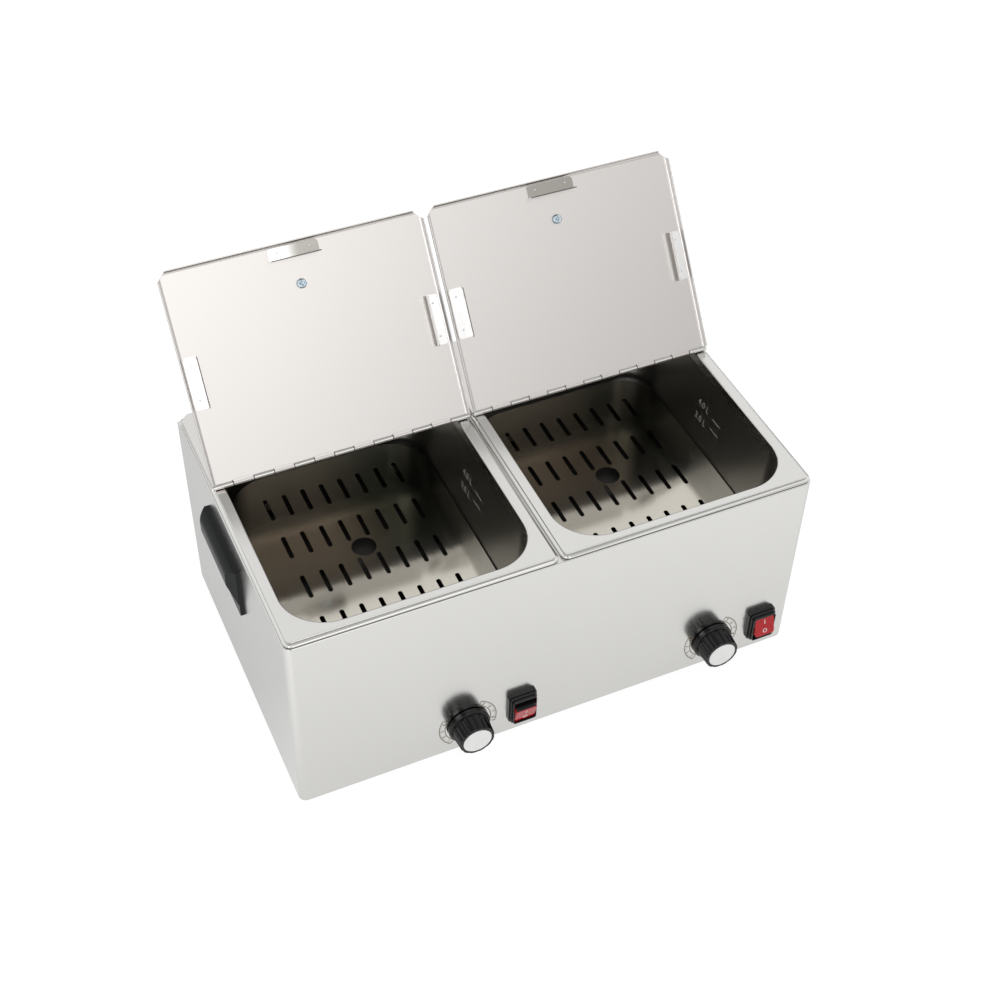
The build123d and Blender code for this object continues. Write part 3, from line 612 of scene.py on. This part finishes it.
def paint_shade_on_lid_edges(lid, side):
    """Painted shade on the bent edges of a lid, clear of its knuckles, and painted light inside the right one."""
    painted_shade = added_finish(lid, shaded_lid_edge_steel)
    bright = added_finish(lid, bright_lip_steel)
    for face, spot, facing in faces_in_lid(lid, side):
        if abs(facing.z) < FACING_PART and spot.y > LID_EDGE_FROM_HINGE:
            # Painted light inside the right edge, painted shade on the other bent edges
            face.material_index = bright if spot.x < 0 and facing.x > FACING_PART else painted_shade


def paint_light_and_shade_inside_cover(cover, side):
    """Painted light and shade on the side of a cover that faces the well."""
    painted_light_and_shade = added_finish(cover, cover_inside_steel(side))
    for face in cover.data.polygons:
        if face.normal.z < -COVER_INSIDE_PART:
            face.material_index = painted_light_and_shade


def shaded_lip_steel(side):
    """Lip on the right of a lid: painted shade next to the lid and painted light towards its end."""
    place = lid_place(side)
    out_of_lid = place.to_3x3() @ Vector((0, 0, 1))
    lid_level = place.translation.dot(out_of_lid)
    shade_start, shade_full = (lid_level + depth for depth in LIP_SHADE_DEPTH)
    material, tree, shader = new_steel(f"{side}_shaded_lip_steel")
    grain = object_noise(tree, TAB_GRAIN)
    coordinates = add_node(tree, "ShaderNodeTexCoord", {})
    level = tree.nodes.new("ShaderNodeVectorMath")
    level.operation = "DOT_PRODUCT"
    set_inputs(tree, level, {0: coordinates.outputs["Object"], 1: out_of_lid})
    near_lid = ranged(tree, level.outputs["Value"], 0, 1, shade_start, shade_full)
    bright_tone = steel_tone(tree, grain, BRIGHT_TAB_TONE)
    shade_tone = steel_tone(tree, grain, (0.36, 0.35, 0.33))
    set_inputs(tree, shader, {
        "Base Color": blended(tree, near_lid, bright_tone, shade_tone),
        "Roughness": ranged(tree, grain, 0.46, 0.5),
    })
    return material


def finish_tab_lips(tabs, side):
    """Side-tab lips: painted light on the lid's left, painted shade on its right, and painted shade on lip ends.
    """
    bright = added_finish(tabs, bright_lip_steel)
    shaded = added_finish(tabs, shaded_lip_steel(side))
    dark = added_finish(tabs, lip_end_steel)
    for face, spot, facing in faces_in_lid(tabs, side):
        if spot.z < LIP_END_DEPTH and facing.z < -LIP_END_PART:
            # Painted shade on the ends of lips, painted light on the ends of the right tabs' lips
            face.material_index = dark if spot.x > -SIDE_TAB_FROM_MIDDLE / 2 else bright
        elif abs(facing.x) > FACING_PART:
            face.material_index = bright if spot.x > 0 else shaded


def line_pan_rim(pan, side):
    """Shade lines on the upright outer faces of a pan's rim."""
    low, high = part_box(f"{side}_pan")
    middle = (Vector(low) + Vector(high)) / 2
    lined = added_finish(pan, rim_edge_steel)
    for face in pan.data.polygons:
        outwards = (face.center - middle).to_2d().dot(face.normal.to_2d())
        upright = abs(face.normal.z) < UPRIGHT_PART
        if face.center.z > RIM_SKIRT_BOTTOM and upright and outwards > 0:
            face.material_index = lined


def dress_well(side):
    line_pan_rim(dress(f"{side}_pan", pan_steel, 0), side)
    dress(f"{side}_plate", plate_steel, 0)
    paint_light_and_shade_inside_cover(dress(f"{side}_cover", cover_steel, SHEET_EDGE), side)
    paint_shade_on_lid_edges(dress(f"{side}_lid", lid_steel, SHEET_EDGE), side)
    finish_tab_lips(dress(f"{side}_lid_tabs", tab_steel, SHEET_EDGE), side)
    dress(f"{side}_lid_knob", black_moulding, 0)
    dress(f"{side}_lid_screw", zinc_plate, 0)
    paint(f"{side}_hinge_pin", hinge_steel)
    paint(f"{side}_heater", heater_metal)
    paint(f"{side}_heater_clamp", zinc_plate)
    paint(f"{side}_clamp_nuts", zinc_plate)


def paint_shade_on_rocker_flanks(rocker):
    """Painted shade, in black, on the flanks above and below the red face of a rocker."""
    painted_flank_shade = added_finish(rocker, black_moulding)
    for face in rocker.data.polygons:
        if abs(face.normal.z) > FACING_PART:
            # Faces pointing up or down get the painted shade
            face.material_index = painted_flank_shade


def dress_controls(side):
    dress(f"{side}_knob", knob_moulding, SHEET_EDGE)
    dress(f"{side}_knob_cap", cap_white, 0)
    dress(f"{side}_switch", black_moulding, SHEET_EDGE)
    paint_shade_on_rocker_flanks(dress(f"{side}_rocker", rocker_red, 0))
    paint(f"{side}_thermostat", inner_plastic)
    paint(f"{side}_thermostat_screws", zinc_plate)
    paint(f"{side}_thermostat_shaft", zinc_plate)


def node_tree_with_inputs(name, inputs):
    """Geometry node tree with the named inputs and one Geometry output."""
    tree = bpy.data.node_groups.new(name, "GeometryNodeTree")
    tree.interface.new_socket("Geometry", in_out="OUTPUT", socket_type="NodeSocketGeometry")
    for label, kind in inputs:
        tree.interface.new_socket(label, in_out="INPUT", socket_type=kind)
    entry = tree.nodes.new("NodeGroupInput")
    leave = tree.nodes.new("NodeGroupOutput")
    return tree, entry.outputs, leave.inputs["Geometry"]


def finished_instances(tree, geometry, material, leave):
    """End of a tree: real mesh instead of instances, with its material."""
    real = add_node(tree, "GeometryNodeRealizeInstances", {"Geometry": geometry})
    finish = add_node(tree, "GeometryNodeSetMaterial", {
        "Geometry": real.outputs["Geometry"],
        "Material": material,
    })
    tree.links.new(finish.outputs["Geometry"], leave)


def tree_on_points(name, size, turn, material, shape_of_size):
    """Tree that stands a shape on each given point; size, turn and material are the names of its inputs."""
    inputs = (
        ("Geometry", "NodeSocketGeometry"),
        (size, "NodeSocketVector"),
        (turn, "NodeSocketRotation"),
        (material, "NodeSocketMaterial"),
    )
    tree, given, leave = node_tree_with_inputs(name, inputs)
    place = add_node(tree, "GeometryNodeInstanceOnPoints", {
        "Points": given["Geometry"],
        "Instance": shape_of_size(tree, given[size]),
        "Rotation": given[turn],
    })
    finished_instances(tree, place.outputs["Instances"], given[material], leave)
    return tree


def weld_dome(tree, size):
    """Shallow dome of a spot weld."""
    inputs = {"Segments": WELD_SEGMENTS, "Rings": WELD_RINGS, "Radius": 1.0}
    dome = add_node(tree, "GeometryNodeMeshUVSphere", inputs)
    flat = add_node(tree, "GeometryNodeTransform", {"Geometry": dome.outputs["Mesh"], "Scale": size})
    return flat.outputs["Geometry"]


def flat_bar(tree, size):
    return add_node(tree, "GeometryNodeMeshCube", {"Size": size}).outputs["Mesh"]


def crossed_bars(tree, size):
    """Cross recess of a screw: one bar and the same bar turned by a quarter."""
    bar = flat_bar(tree, size)
    turned = add_node(tree, "GeometryNodeTransform", {"Geometry": bar, "Rotation": (0, 0, QUARTER_TURN)})
    both = add_node(tree, "GeometryNodeJoinGeometry", {"Geometry": bar})
    set_inputs(tree, both, {"Geometry": turned.outputs["Geometry"]})
    return both.outputs["Geometry"]


def knuckle_gap_tree():
    """Rings of painted shade around the hinge, one at each gap between two knuckles."""
    inputs = (
        ("Gap Count", "NodeSocketInt"),
        ("Knuckle Pitch", "NodeSocketVector"),
        ("First Gap", "NodeSocketVector"),
        ("Knuckle Radius", "NodeSocketFloat"),
        ("Gap Width", "NodeSocketFloat"),
        ("Shade", "NodeSocketMaterial"),
    )
    tree, given, leave = node_tree_with_inputs("knuckle_gaps", inputs)
    row = add_node(tree, "GeometryNodeMeshLine", {
        "Count": given["Gap Count"],
        "Start Location": given["First Gap"],
        "Offset": given["Knuckle Pitch"],
    })
    ring = add_node(tree, "GeometryNodeMeshCylinder", {
        "Vertices": KNUCKLE_GAP_CORNERS,
        "Radius": given["Knuckle Radius"],
        "Depth": given["Gap Width"],
    })
    along_hinge = add_node(tree, "GeometryNodeTransform", {
        "Geometry": ring.outputs["Mesh"],
        "Rotation": (0, QUARTER_TURN, 0),
    })
    place = add_node(tree, "GeometryNodeInstanceOnPoints", {
        "Points": row.outputs["Mesh"],
        "Instance": along_hinge.outputs["Geometry"],
    })
    finished_instances(tree, place.outputs["Instances"], given["Shade"], leave)
    return tree


def dial_tick_tree():
    """Ticks along an arc around a knob, each pointing to its middle."""
    inputs = (
        ("Tick Count", "NodeSocketInt"),
        ("Tick Radius", "NodeSocketFloat"),
        ("Start", "NodeSocketFloat"),
        ("Sweep", "NodeSocketFloat"),
        ("Tick Size", "NodeSocketVector"),
        ("Knob Middle", "NodeSocketVector"),
        ("Ink", "NodeSocketMaterial"),
    )
    tree, given, leave = node_tree_with_inputs("dial_ticks", inputs)
    arc = add_node(tree, "GeometryNodeCurveArc", {
        "Resolution": given["Tick Count"],
        "Radius": given["Tick Radius"],
        "Start Angle": given["Start"],
        "Sweep Angle": given["Sweep"],
    })
    points = tree.nodes.new("GeometryNodeCurveToPoints")
    points.mode = "EVALUATED"
    set_inputs(tree, points, {"Curve": arc.outputs["Curve"]})
    position = add_node(tree, "GeometryNodeInputPosition", {})
    outwards = tree.nodes.new("FunctionNodeAlignRotationToVector")
    outwards.axis = "X"
    set_inputs(tree, outwards, {"Vector": position.outputs["Position"]})
    place = add_node(tree, "GeometryNodeInstanceOnPoints", {
        "Points": points.outputs["Points"],
        "Instance": flat_bar(tree, given["Tick Size"]),
        "Rotation": outwards.outputs["Rotation"],
    })
    on_panel = add_node(tree, "GeometryNodeTransform", {
        "Geometry": place.outputs["Instances"],
        "Translation": given["Knob Middle"],
        "Rotation": (QUARTER_TURN, 0, 0),
    })
    finished_instances(tree, on_panel.outputs["Geometry"], given["Ink"], leave)
    return tree


def grown(name, tree, points, values, material):
    """Plain mesh piece from a node tree, its inputs set by socket identifier."""
    mesh = bpy.data.meshes.new(name)
    mesh.from_pydata(points, [], [])
    piece = make_object(name, mesh, material)
    modifier = piece.modifiers.new(tree.name, "NODES")
    modifier.node_group = tree
    inputs = [item for item in tree.interface.items_tree if item.in_out == "INPUT"]
    identifiers = {item.name: item.identifier for item in inputs}
    for label, value in values.items():
        modifier[identifiers[label]] = value
    return applied(piece)


def grow_on_lid(name, side, tree, spots, size_label, size, steel):
    """Piece of shapes on spots in the lid's frame, which turns with the lid."""
    place = lid_place(side)
    values = {size_label: size, "Lid Turn": place.to_euler(), "Steel": steel}
    piece = grown(f"{side}_{name}", tree, [place @ spot for spot in spots], values, steel)
    attach(piece, f"{side}_lid", "lid_steel")


def weld_lid_tabs(side, tree):
    """Two spot welds on the flat of each of the three tabs under the lid."""
    half = WELD_SPACING / 2
    spots = [Vector((x, FRONT_TAB_FROM_HINGE, TAB_UNDERSIDE)) for x in (-half, half)]
    for x in (-SIDE_TAB_FROM_MIDDLE, SIDE_TAB_FROM_MIDDLE):
        spots += [Vector((x, SIDE_TAB_FROM_HINGE + y, TAB_UNDERSIDE)) for y in (-half, half)]
    size = (WELD_RADIUS, WELD_RADIUS, WELD_HEIGHT)
    grow_on_lid("tab_welds", side, tree, spots, "Weld Size", size, weld_steel)


def knuckle_pitch(side):
    low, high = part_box(f"{side}_cover")
    return (high[0] - low[0]) / KNUCKLE_COUNT


def lay_knuckle_tongues(side, tree):
    """Tongue from each knuckle of the lid, every second one of the hinge, into the lid's sheet."""
    pitch = knuckle_pitch(side)
    steps = range(1, KNUCKLE_COUNT, 2)
    spots = [Vector(((step - KNUCKLE_COUNT // 2) * pitch, TONGUE_FROM_HINGE, TONGUE_DEPTH)) for step in steps]
    size = (pitch - KNUCKLE_GAP_WIDTH, TONGUE_WIDTH, TONGUE_THICKNESS)
    grow_on_lid("knuckle_tongues", side, tree, spots, "Tongue Size", size, lid_steel)


def shade_knuckle_gaps(side, tree):
    """Painted shade in the gaps between the knuckles of a hinge, which stays with the cover."""
    middle = Vector(joint_named[f"{side}_lid_hinge"]["pos_m"])
    pitch = Vector((knuckle_pitch(side), 0, 0))
    values = {
        "Gap Count": KNUCKLE_COUNT - 1,
        "Knuckle Pitch": pitch,
        "First Gap": middle - pitch * (KNUCKLE_COUNT / 2 - 1),
        "Knuckle Radius": KNUCKLE_RADIUS + PRINT_THICKNESS,
        "Gap Width": KNUCKLE_GAP_WIDTH,
        "Shade": recess_shade,
    }
    piece = grown(f"{side}_knuckle_gaps", tree, [], values, recess_shade)
    attach(piece, f"{side}_cover", "hinge_steel")


def loose_parts(shape):
    """Corners of each loose part of a shape, always in the order of its mesh."""
    found = set()
    for first in shape.verts:
        if first in found:
            continue
        found.add(first)
        part = [first]
        for vert in part:
            linked = [edge.other_vert(vert) for edge in vert.link_edges]
            fresh = [other for other in linked if other not in found]
            found.update(fresh)
            part.extend(fresh)
        yield part


def screw_tops(node, direction):
    """Middle of each screw head's outer face, for a node whose screws all point one way."""
    shape = merged_shape(frame["nodes"][node].data)
    tops = []
    for screw in loose_parts(shape):
        reach = max(vert.co.dot(direction) for vert in screw)
        face = [vert.co for vert in screw if vert.co.dot(direction) > reach - SCREW_TOP_DEPTH]
        tops.append(sum(face, Vector()) / len(face))
    shape.free()
    return tops


def recess_screws(node, direction, tree):
    """Cross of painted shade on each screw head of a node, where its recess lies."""
    values = {
        "Recess Size": (RECESS_LENGTH, RECESS_WIDTH, PRINT_THICKNESS),
        "Facing": direction.to_track_quat("Z", "Y").to_euler(),
        "Shade": recess_shade,
    }
    piece = grown(f"{node}_recesses", tree, screw_tops(node, direction), values, recess_shade)
    attach(piece, body_of_node[node], slot_of_node[node])


def thickened(name, shape, thickness, place, material):
    """Piece of print: a flat shape in its own x and y, given a thickness and set in its place."""
    rise = Vector((0, 0, thickness))
    flat_faces = shape.faces[:]
    outline = [edge for edge in shape.edges if edge.is_boundary]
    raised = {vert: shape.verts.new(vert.co + rise) for vert in shape.verts[:] if vert.link_faces}
    for face in flat_faces:
        shape.faces.new([raised[vert] for vert in face.verts], face)
    for edge in outline:
        near, far = edge.verts
        shape.faces.new((near, far, raised[far], raised[near]), edge.link_faces[0])
    bmesh.ops.recalc_face_normals(shape, faces=shape.faces[:])
    shape.transform(place)
    mesh = bpy.data.meshes.new(name)
    shape.to_mesh(mesh)
    shape.free()
    return make_object(name, mesh, material)


def add_arc(shape, inner, outer, segments, start=0, sweep=math.tau, middle=Vector((0, 0, 0))):
    """Flat band of quads along an arc, closed to a ring for a whole turn."""
    whole = sweep == math.tau
    corners = []
    for step in range(segments if whole else segments + 1):
        angle = start + sweep * step / segments
        ray = Vector((math.cos(angle), math.sin(angle), 0))
        corners.append((shape.verts.new(middle + ray * inner), shape.verts.new(middle + ray * outer)))
    for step in range(segments):
        near = corners[step]
        far = corners[(step + 1) % len(corners)]
        shape.faces.new((near[0], near[1], far[1], far[0]))


def add_bar(shape, width, height, place):
    """Flat rectangle, centred on its place."""
    ends = ((-1, -1), (1, -1), (1, 1), (-1, 1))
    corners = [shape.verts.new(place @ Vector((x * width / 2, y * height / 2, 0))) for x, y in ends]
    shape.faces.new(corners)


def add_words(shape, words, height, place, boldness=0):
    """Flat lettering of a given height, centred on its place."""
    data = bpy.data.curves.new("lettering", "FONT")
    data.body = words
    data.align_x = "CENTER"
    data.align_y = "CENTER"
    data.size = height / DIGIT_PART
    data.offset = boldness
    data.resolution_u = DIGIT_STEPS
    source = bpy.data.objects.new("lettering", data)
    bpy.context.scene.collection.objects.link(source)
    evaluated = source.evaluated_get(bpy.context.evaluated_depsgraph_get())
    mesh = bpy.data.meshes.new_from_object(evaluated)
    mesh.transform(place)
    shape.from_mesh(mesh)
    bpy.data.meshes.remove(mesh)
    bpy.data.objects.remove(source)
    bpy.data.curves.remove(data)


def add_dial_band(shape, start, first_number):
    """Outline of one band of a dial, with its numbers."""
    for radius in (DIAL_INNER_RADIUS, DIAL_OUTER_RADIUS):
        add_arc(shape, radius - DIAL_LINE, radius, DIAL_BAND_SEGMENTS, start, DIAL_BAND_SWEEP)
    for end in (start, start + DIAL_BAND_SWEEP - DIAL_BAND_END):
        between = (DIAL_INNER_RADIUS, DIAL_OUTER_RADIUS - DIAL_LINE)
        add_arc(shape, *between, DIAL_END_SEGMENTS, end, DIAL_BAND_END)
    for index in range(DIAL_NUMBER_COUNT):
        angle = start + DIAL_BAND_SWEEP * (1 - (index + 0.5) / DIAL_NUMBER_COUNT)
        turn = Matrix.Rotation(angle - QUARTER_TURN, 4, "Z")
        place = turn @ Matrix.Translation((0, DIAL_NUMBER_RADIUS, 0))
        add_words(shape, str(first_number + index), DIAL_NUMBER_HEIGHT, place, DIAL_NUMBER_BOLDNESS)


def print_dial(side, tree):
    """Two outlined bands with ticks and plain numbers on the casing, left and right of a knob."""
    middle = Vector(joint_named[f"{side}_knob_turn"]["pos_m"])
    on_panel = Matrix.Translation(middle) @ Matrix.Rotation(QUARTER_TURN, 4, "X")
    shape = bmesh.new()
    first_number = 1
    for band, start in zip(SIDES, DIAL_BAND_STARTS):
        add_dial_band(shape, start, first_number)
        first_number += DIAL_NUMBER_COUNT
        values = {
            "Tick Count": DIAL_TICK_COUNT,
            "Tick Radius": DIAL_OUTER_RADIUS - DIAL_LINE - DIAL_TICK_LENGTH / 2,
            "Start": start,
            "Sweep": DIAL_BAND_SWEEP,
            "Tick Size": (DIAL_TICK_LENGTH, DIAL_TICK_WIDTH, 2 * PRINT_THICKNESS),
            "Knob Middle": middle,
            "Ink": dial_brown,
        }
        scale = grown(f"{side}_dial_ticks_{band}", tree, [], values, dial_brown)
        attach(scale, "base", "white_plastic")
    piece = thickened(f"{side}_dial", shape, PRINT_THICKNESS, on_panel, dial_brown)
    attach(piece, "base", "white_plastic")


def mark_rocker(side):
    """Bar and ring for on and off on the rocker's face."""
    joint = joint_named[f"{side}_rocker_tilt"]
    tilt = -math.radians(sum(joint["range_deg"]) / 2)
    turn = Matrix.Rotation(QUARTER_TURN + tilt, 4, "X")
    face = Matrix.Translation(joint["pos_m"]) @ turn @ Matrix.Translation((0, 0, ROCKER_FACE_FROM_PIVOT))
    shape = bmesh.new()
    bar_place = Matrix.Translation((0, ROCKER_MARK_OFFSET, 0))
    add_bar(shape, ROCKER_MARK_STROKE, ROCKER_MARK_HEIGHT, bar_place)
    outer = ROCKER_MARK_HEIGHT / 2
    ring_middle = Vector((0, -ROCKER_MARK_OFFSET, 0))
    add_arc(shape, outer - ROCKER_MARK_STROKE, outer, ROCKER_RING_SEGMENTS, middle=ring_middle)
    piece = thickened(f"{side}_rocker_marks", shape, PRINT_THICKNESS, face, rocker_print)
    attach(piece, f"{side}_rocker", "white_plastic")


def on_right_wall(side, y, z):
    """Frame on the well's right wall: x to the reader's right, y up the wall, z out of it."""
    low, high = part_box(f"{side}_pan")
    x = (low[0] + high[0]) / 2 + WELL_HALF_WIDTH - (RIM_TOP - z) * math.tan(WELL_DRAFT)
    across = Vector((0, -1, 0))
    up = Vector((math.sin(WELL_DRAFT), 0, math.cos(WELL_DRAFT)))
    turn = Matrix((across, up, across.cross(up))).transposed().to_4x4()
    return Matrix.Translation((x, y, z)) @ turn


def etch_level_marks(side):
    """Plain filling levels on the wall of the well: a number and a short line for each."""
    shape = bmesh.new()
    for number, foot, line in LEVEL_MARKS:
        number_place = on_right_wall(side, LEVEL_NUMBER_MIDDLE_Y, foot + LEVEL_NUMBER_HEIGHT / 2)
        line_place = on_right_wall(side, LEVEL_LINE_MIDDLE_Y, line)
        add_words(shape, number, LEVEL_NUMBER_HEIGHT, number_place)
        add_bar(shape, LEVEL_LINE_LENGTH, LEVEL_LINE_WIDTH, line_place)
    wall = on_right_wall(side, 0, RIM_TOP)
    shape.transform(wall.inverted())
    piece = thickened(f"{side}_level_marks", shape, PRINT_THICKNESS, wall, etched_mark)
    attach(piece, "base", "pan_steel")


def make_camera():
    """Camera at the photograph's place, with its roll and focal length."""
    level_part = math.cos(CAMERA_ELEVATION)
    forward = Vector((
        -math.sin(CAMERA_AZIMUTH) * level_part,
        math.cos(CAMERA_AZIMUTH) * level_part,
        -math.sin(CAMERA_ELEVATION),
    ))
    right = Vector((math.cos(CAMERA_AZIMUTH), math.sin(CAMERA_AZIMUTH), 0))
    down = forward.cross(right)
    image_x = right * math.cos(CAMERA_ROLL) - down * math.sin(CAMERA_ROLL)
    image_y = right * math.sin(CAMERA_ROLL) + down * math.cos(CAMERA_ROLL)
    turn = Matrix((image_x, -image_y, -forward)).transposed()
    data = bpy.data.cameras.new("photo_camera")
    data.sensor_width = SENSOR_MM
    data.lens = SENSOR_MM * FOCAL_PIXELS / IMAGE_PIXELS
    data.clip_end = CAMERA_REACH
    camera = bpy.data.objects.new("photo_camera", data)
    camera.matrix_world = Matrix.Translation(CAMERA_PLACE) @ turn.to_4x4()
    bpy.context.scene.collection.objects.link(camera)
    bpy.context.scene.camera = camera


def make_floor():
    """White floor that stays white in view and bright in reflections, with painted shade near the casing, and a
    soft shadow.
    """
    mesh = bpy.data.meshes.new("studio_floor")
    shape = bmesh.new()
    bmesh.ops.create_grid(shape, x_segments=2, y_segments=2, size=FLOOR_HALF_SIZE)
    shape.to_mesh(mesh)
    shape.free()
    material, tree, shader = new_material("floor_white")
    ray = add_node(tree, "ShaderNodeLightPath", {}).outputs
    mirrored = calculated(tree, "MAXIMUM", ray["Is Glossy Ray"], ray["Is Transmission Ray"])
    seen = calculated(tree, "MAXIMUM", ray["Is Camera Ray"], mirrored)
    place = coordinate_axes(tree)
    along_floor = levels(tree, place["Y"], FLOOR_LEVELS)
    # Painted shade in the floor's glow near the casing
    by_the_casing = levels(tree, place["X"], FLOOR_SHADE)
    to_mirrors = calculated(tree, "MULTIPLY", along_floor, by_the_casing)
    to_camera = calculated(tree, "MULTIPLY", ray["Is Camera Ray"], FLOOR_TO_CAMERA)
    glow = calculated(tree, "MAXIMUM", to_mirrors, to_camera)
    set_inputs(tree, shader, {
        "Base Color": ranged(tree, seen, *FLOOR_PALENESS, 0, 1),
        "Roughness": FLOOR_ROUGHNESS,
        "Specular IOR Level": 0.0,
        "Emission Color": grey(1),
        "Emission Strength": calculated(tree, "MULTIPLY", glow, seen),
    })
    floor = make_object("studio_floor", mesh, material)


def make_world():
    """White to the camera; for light and reflections bright in front and dim overhead."""
    world = bpy.data.worlds.new("studio_world")
    bpy.context.scene.world = world
    world.use_nodes = True
    tree = world.node_tree
    direction = coordinate_axes(tree, "Generated")
    overhead = ranged(tree, direction["Z"], *OVERHEAD_LEVELS, *OVERHEAD_HEIGHT, smooth=True)
    in_front = ranged(tree, direction["Y"], 1, 0, *FRONT_REACH, smooth=True)
    across = levels(tree, direction["X"], FRONT_LEVELS_ACROSS)
    upwards = levels(tree, direction["Z"], FRONT_LEVELS_UPWARDS)
    front = calculated(tree, "MULTIPLY", across, upwards)
    front_light = calculated(tree, "MULTIPLY", front, FRONT_STRENGTH)
    gain = calculated(tree, "SUBTRACT", front_light, 1.0)
    front_gain = calculated(tree, "MULTIPLY", in_front, gain)
    level = calculated(tree, "MULTIPLY", overhead, calculated(tree, "ADD", front_gain, 1.0))
    ray = add_node(tree, "ShaderNodeLightPath", {}).outputs
    set_inputs(tree, tree.nodes["Background"], {
        "Color": grey(1),
        "Strength": calculated(tree, "MAXIMUM", level, ray["Is Camera Ray"]),
    })


def make_key_lamp():
    """Square softbox at the front left."""
    data = bpy.data.lights.new("key_softbox", "AREA")
    data.size = KEY_SIZE
    data.energy = KEY_WATTS
    lamp = bpy.data.objects.new("key_softbox", data)
    lamp.location = KEY_PLACE
    lamp.rotation_euler = (KEY_TARGET - KEY_PLACE).to_track_quat("-Z", "Y").to_euler()
    bpy.context.scene.collection.objects.link(lamp)


dress_shared_pieces()
welds = tree_on_points("spot_welds", "Weld Size", "Lid Turn", "Steel", weld_dome)
gaps = knuckle_gap_tree()
tongues = tree_on_points("knuckle_tongues", "Tongue Size", "Lid Turn", "Steel", flat_bar)
recesses = tree_on_points("cross_recesses", "Recess Size", "Facing", "Shade", crossed_bars)
ticks = dial_tick_tree()
for side in SIDES:
    dress_well(side)
    dress_controls(side)
    weld_lid_tabs(side, welds)
    shade_knuckle_gaps(side, gaps)
    lay_knuckle_tongues(side, tongues)
    print_dial(side, ticks)
    mark_rocker(side)
    etch_level_marks(side)
recess_screws("back_screws", Vector((0, 1, 0)), recesses)
recess_screws("base_screws", Vector((0, 0, -1)), recesses)
recess_screws("foot_screws", Vector((0, 0, -1)), recesses)
make_camera()
make_floor()
make_world()
make_key_lamp()
bpy.context.scene.view_settings.view_transform = "Standard"

bpy.context.view_layer.update()
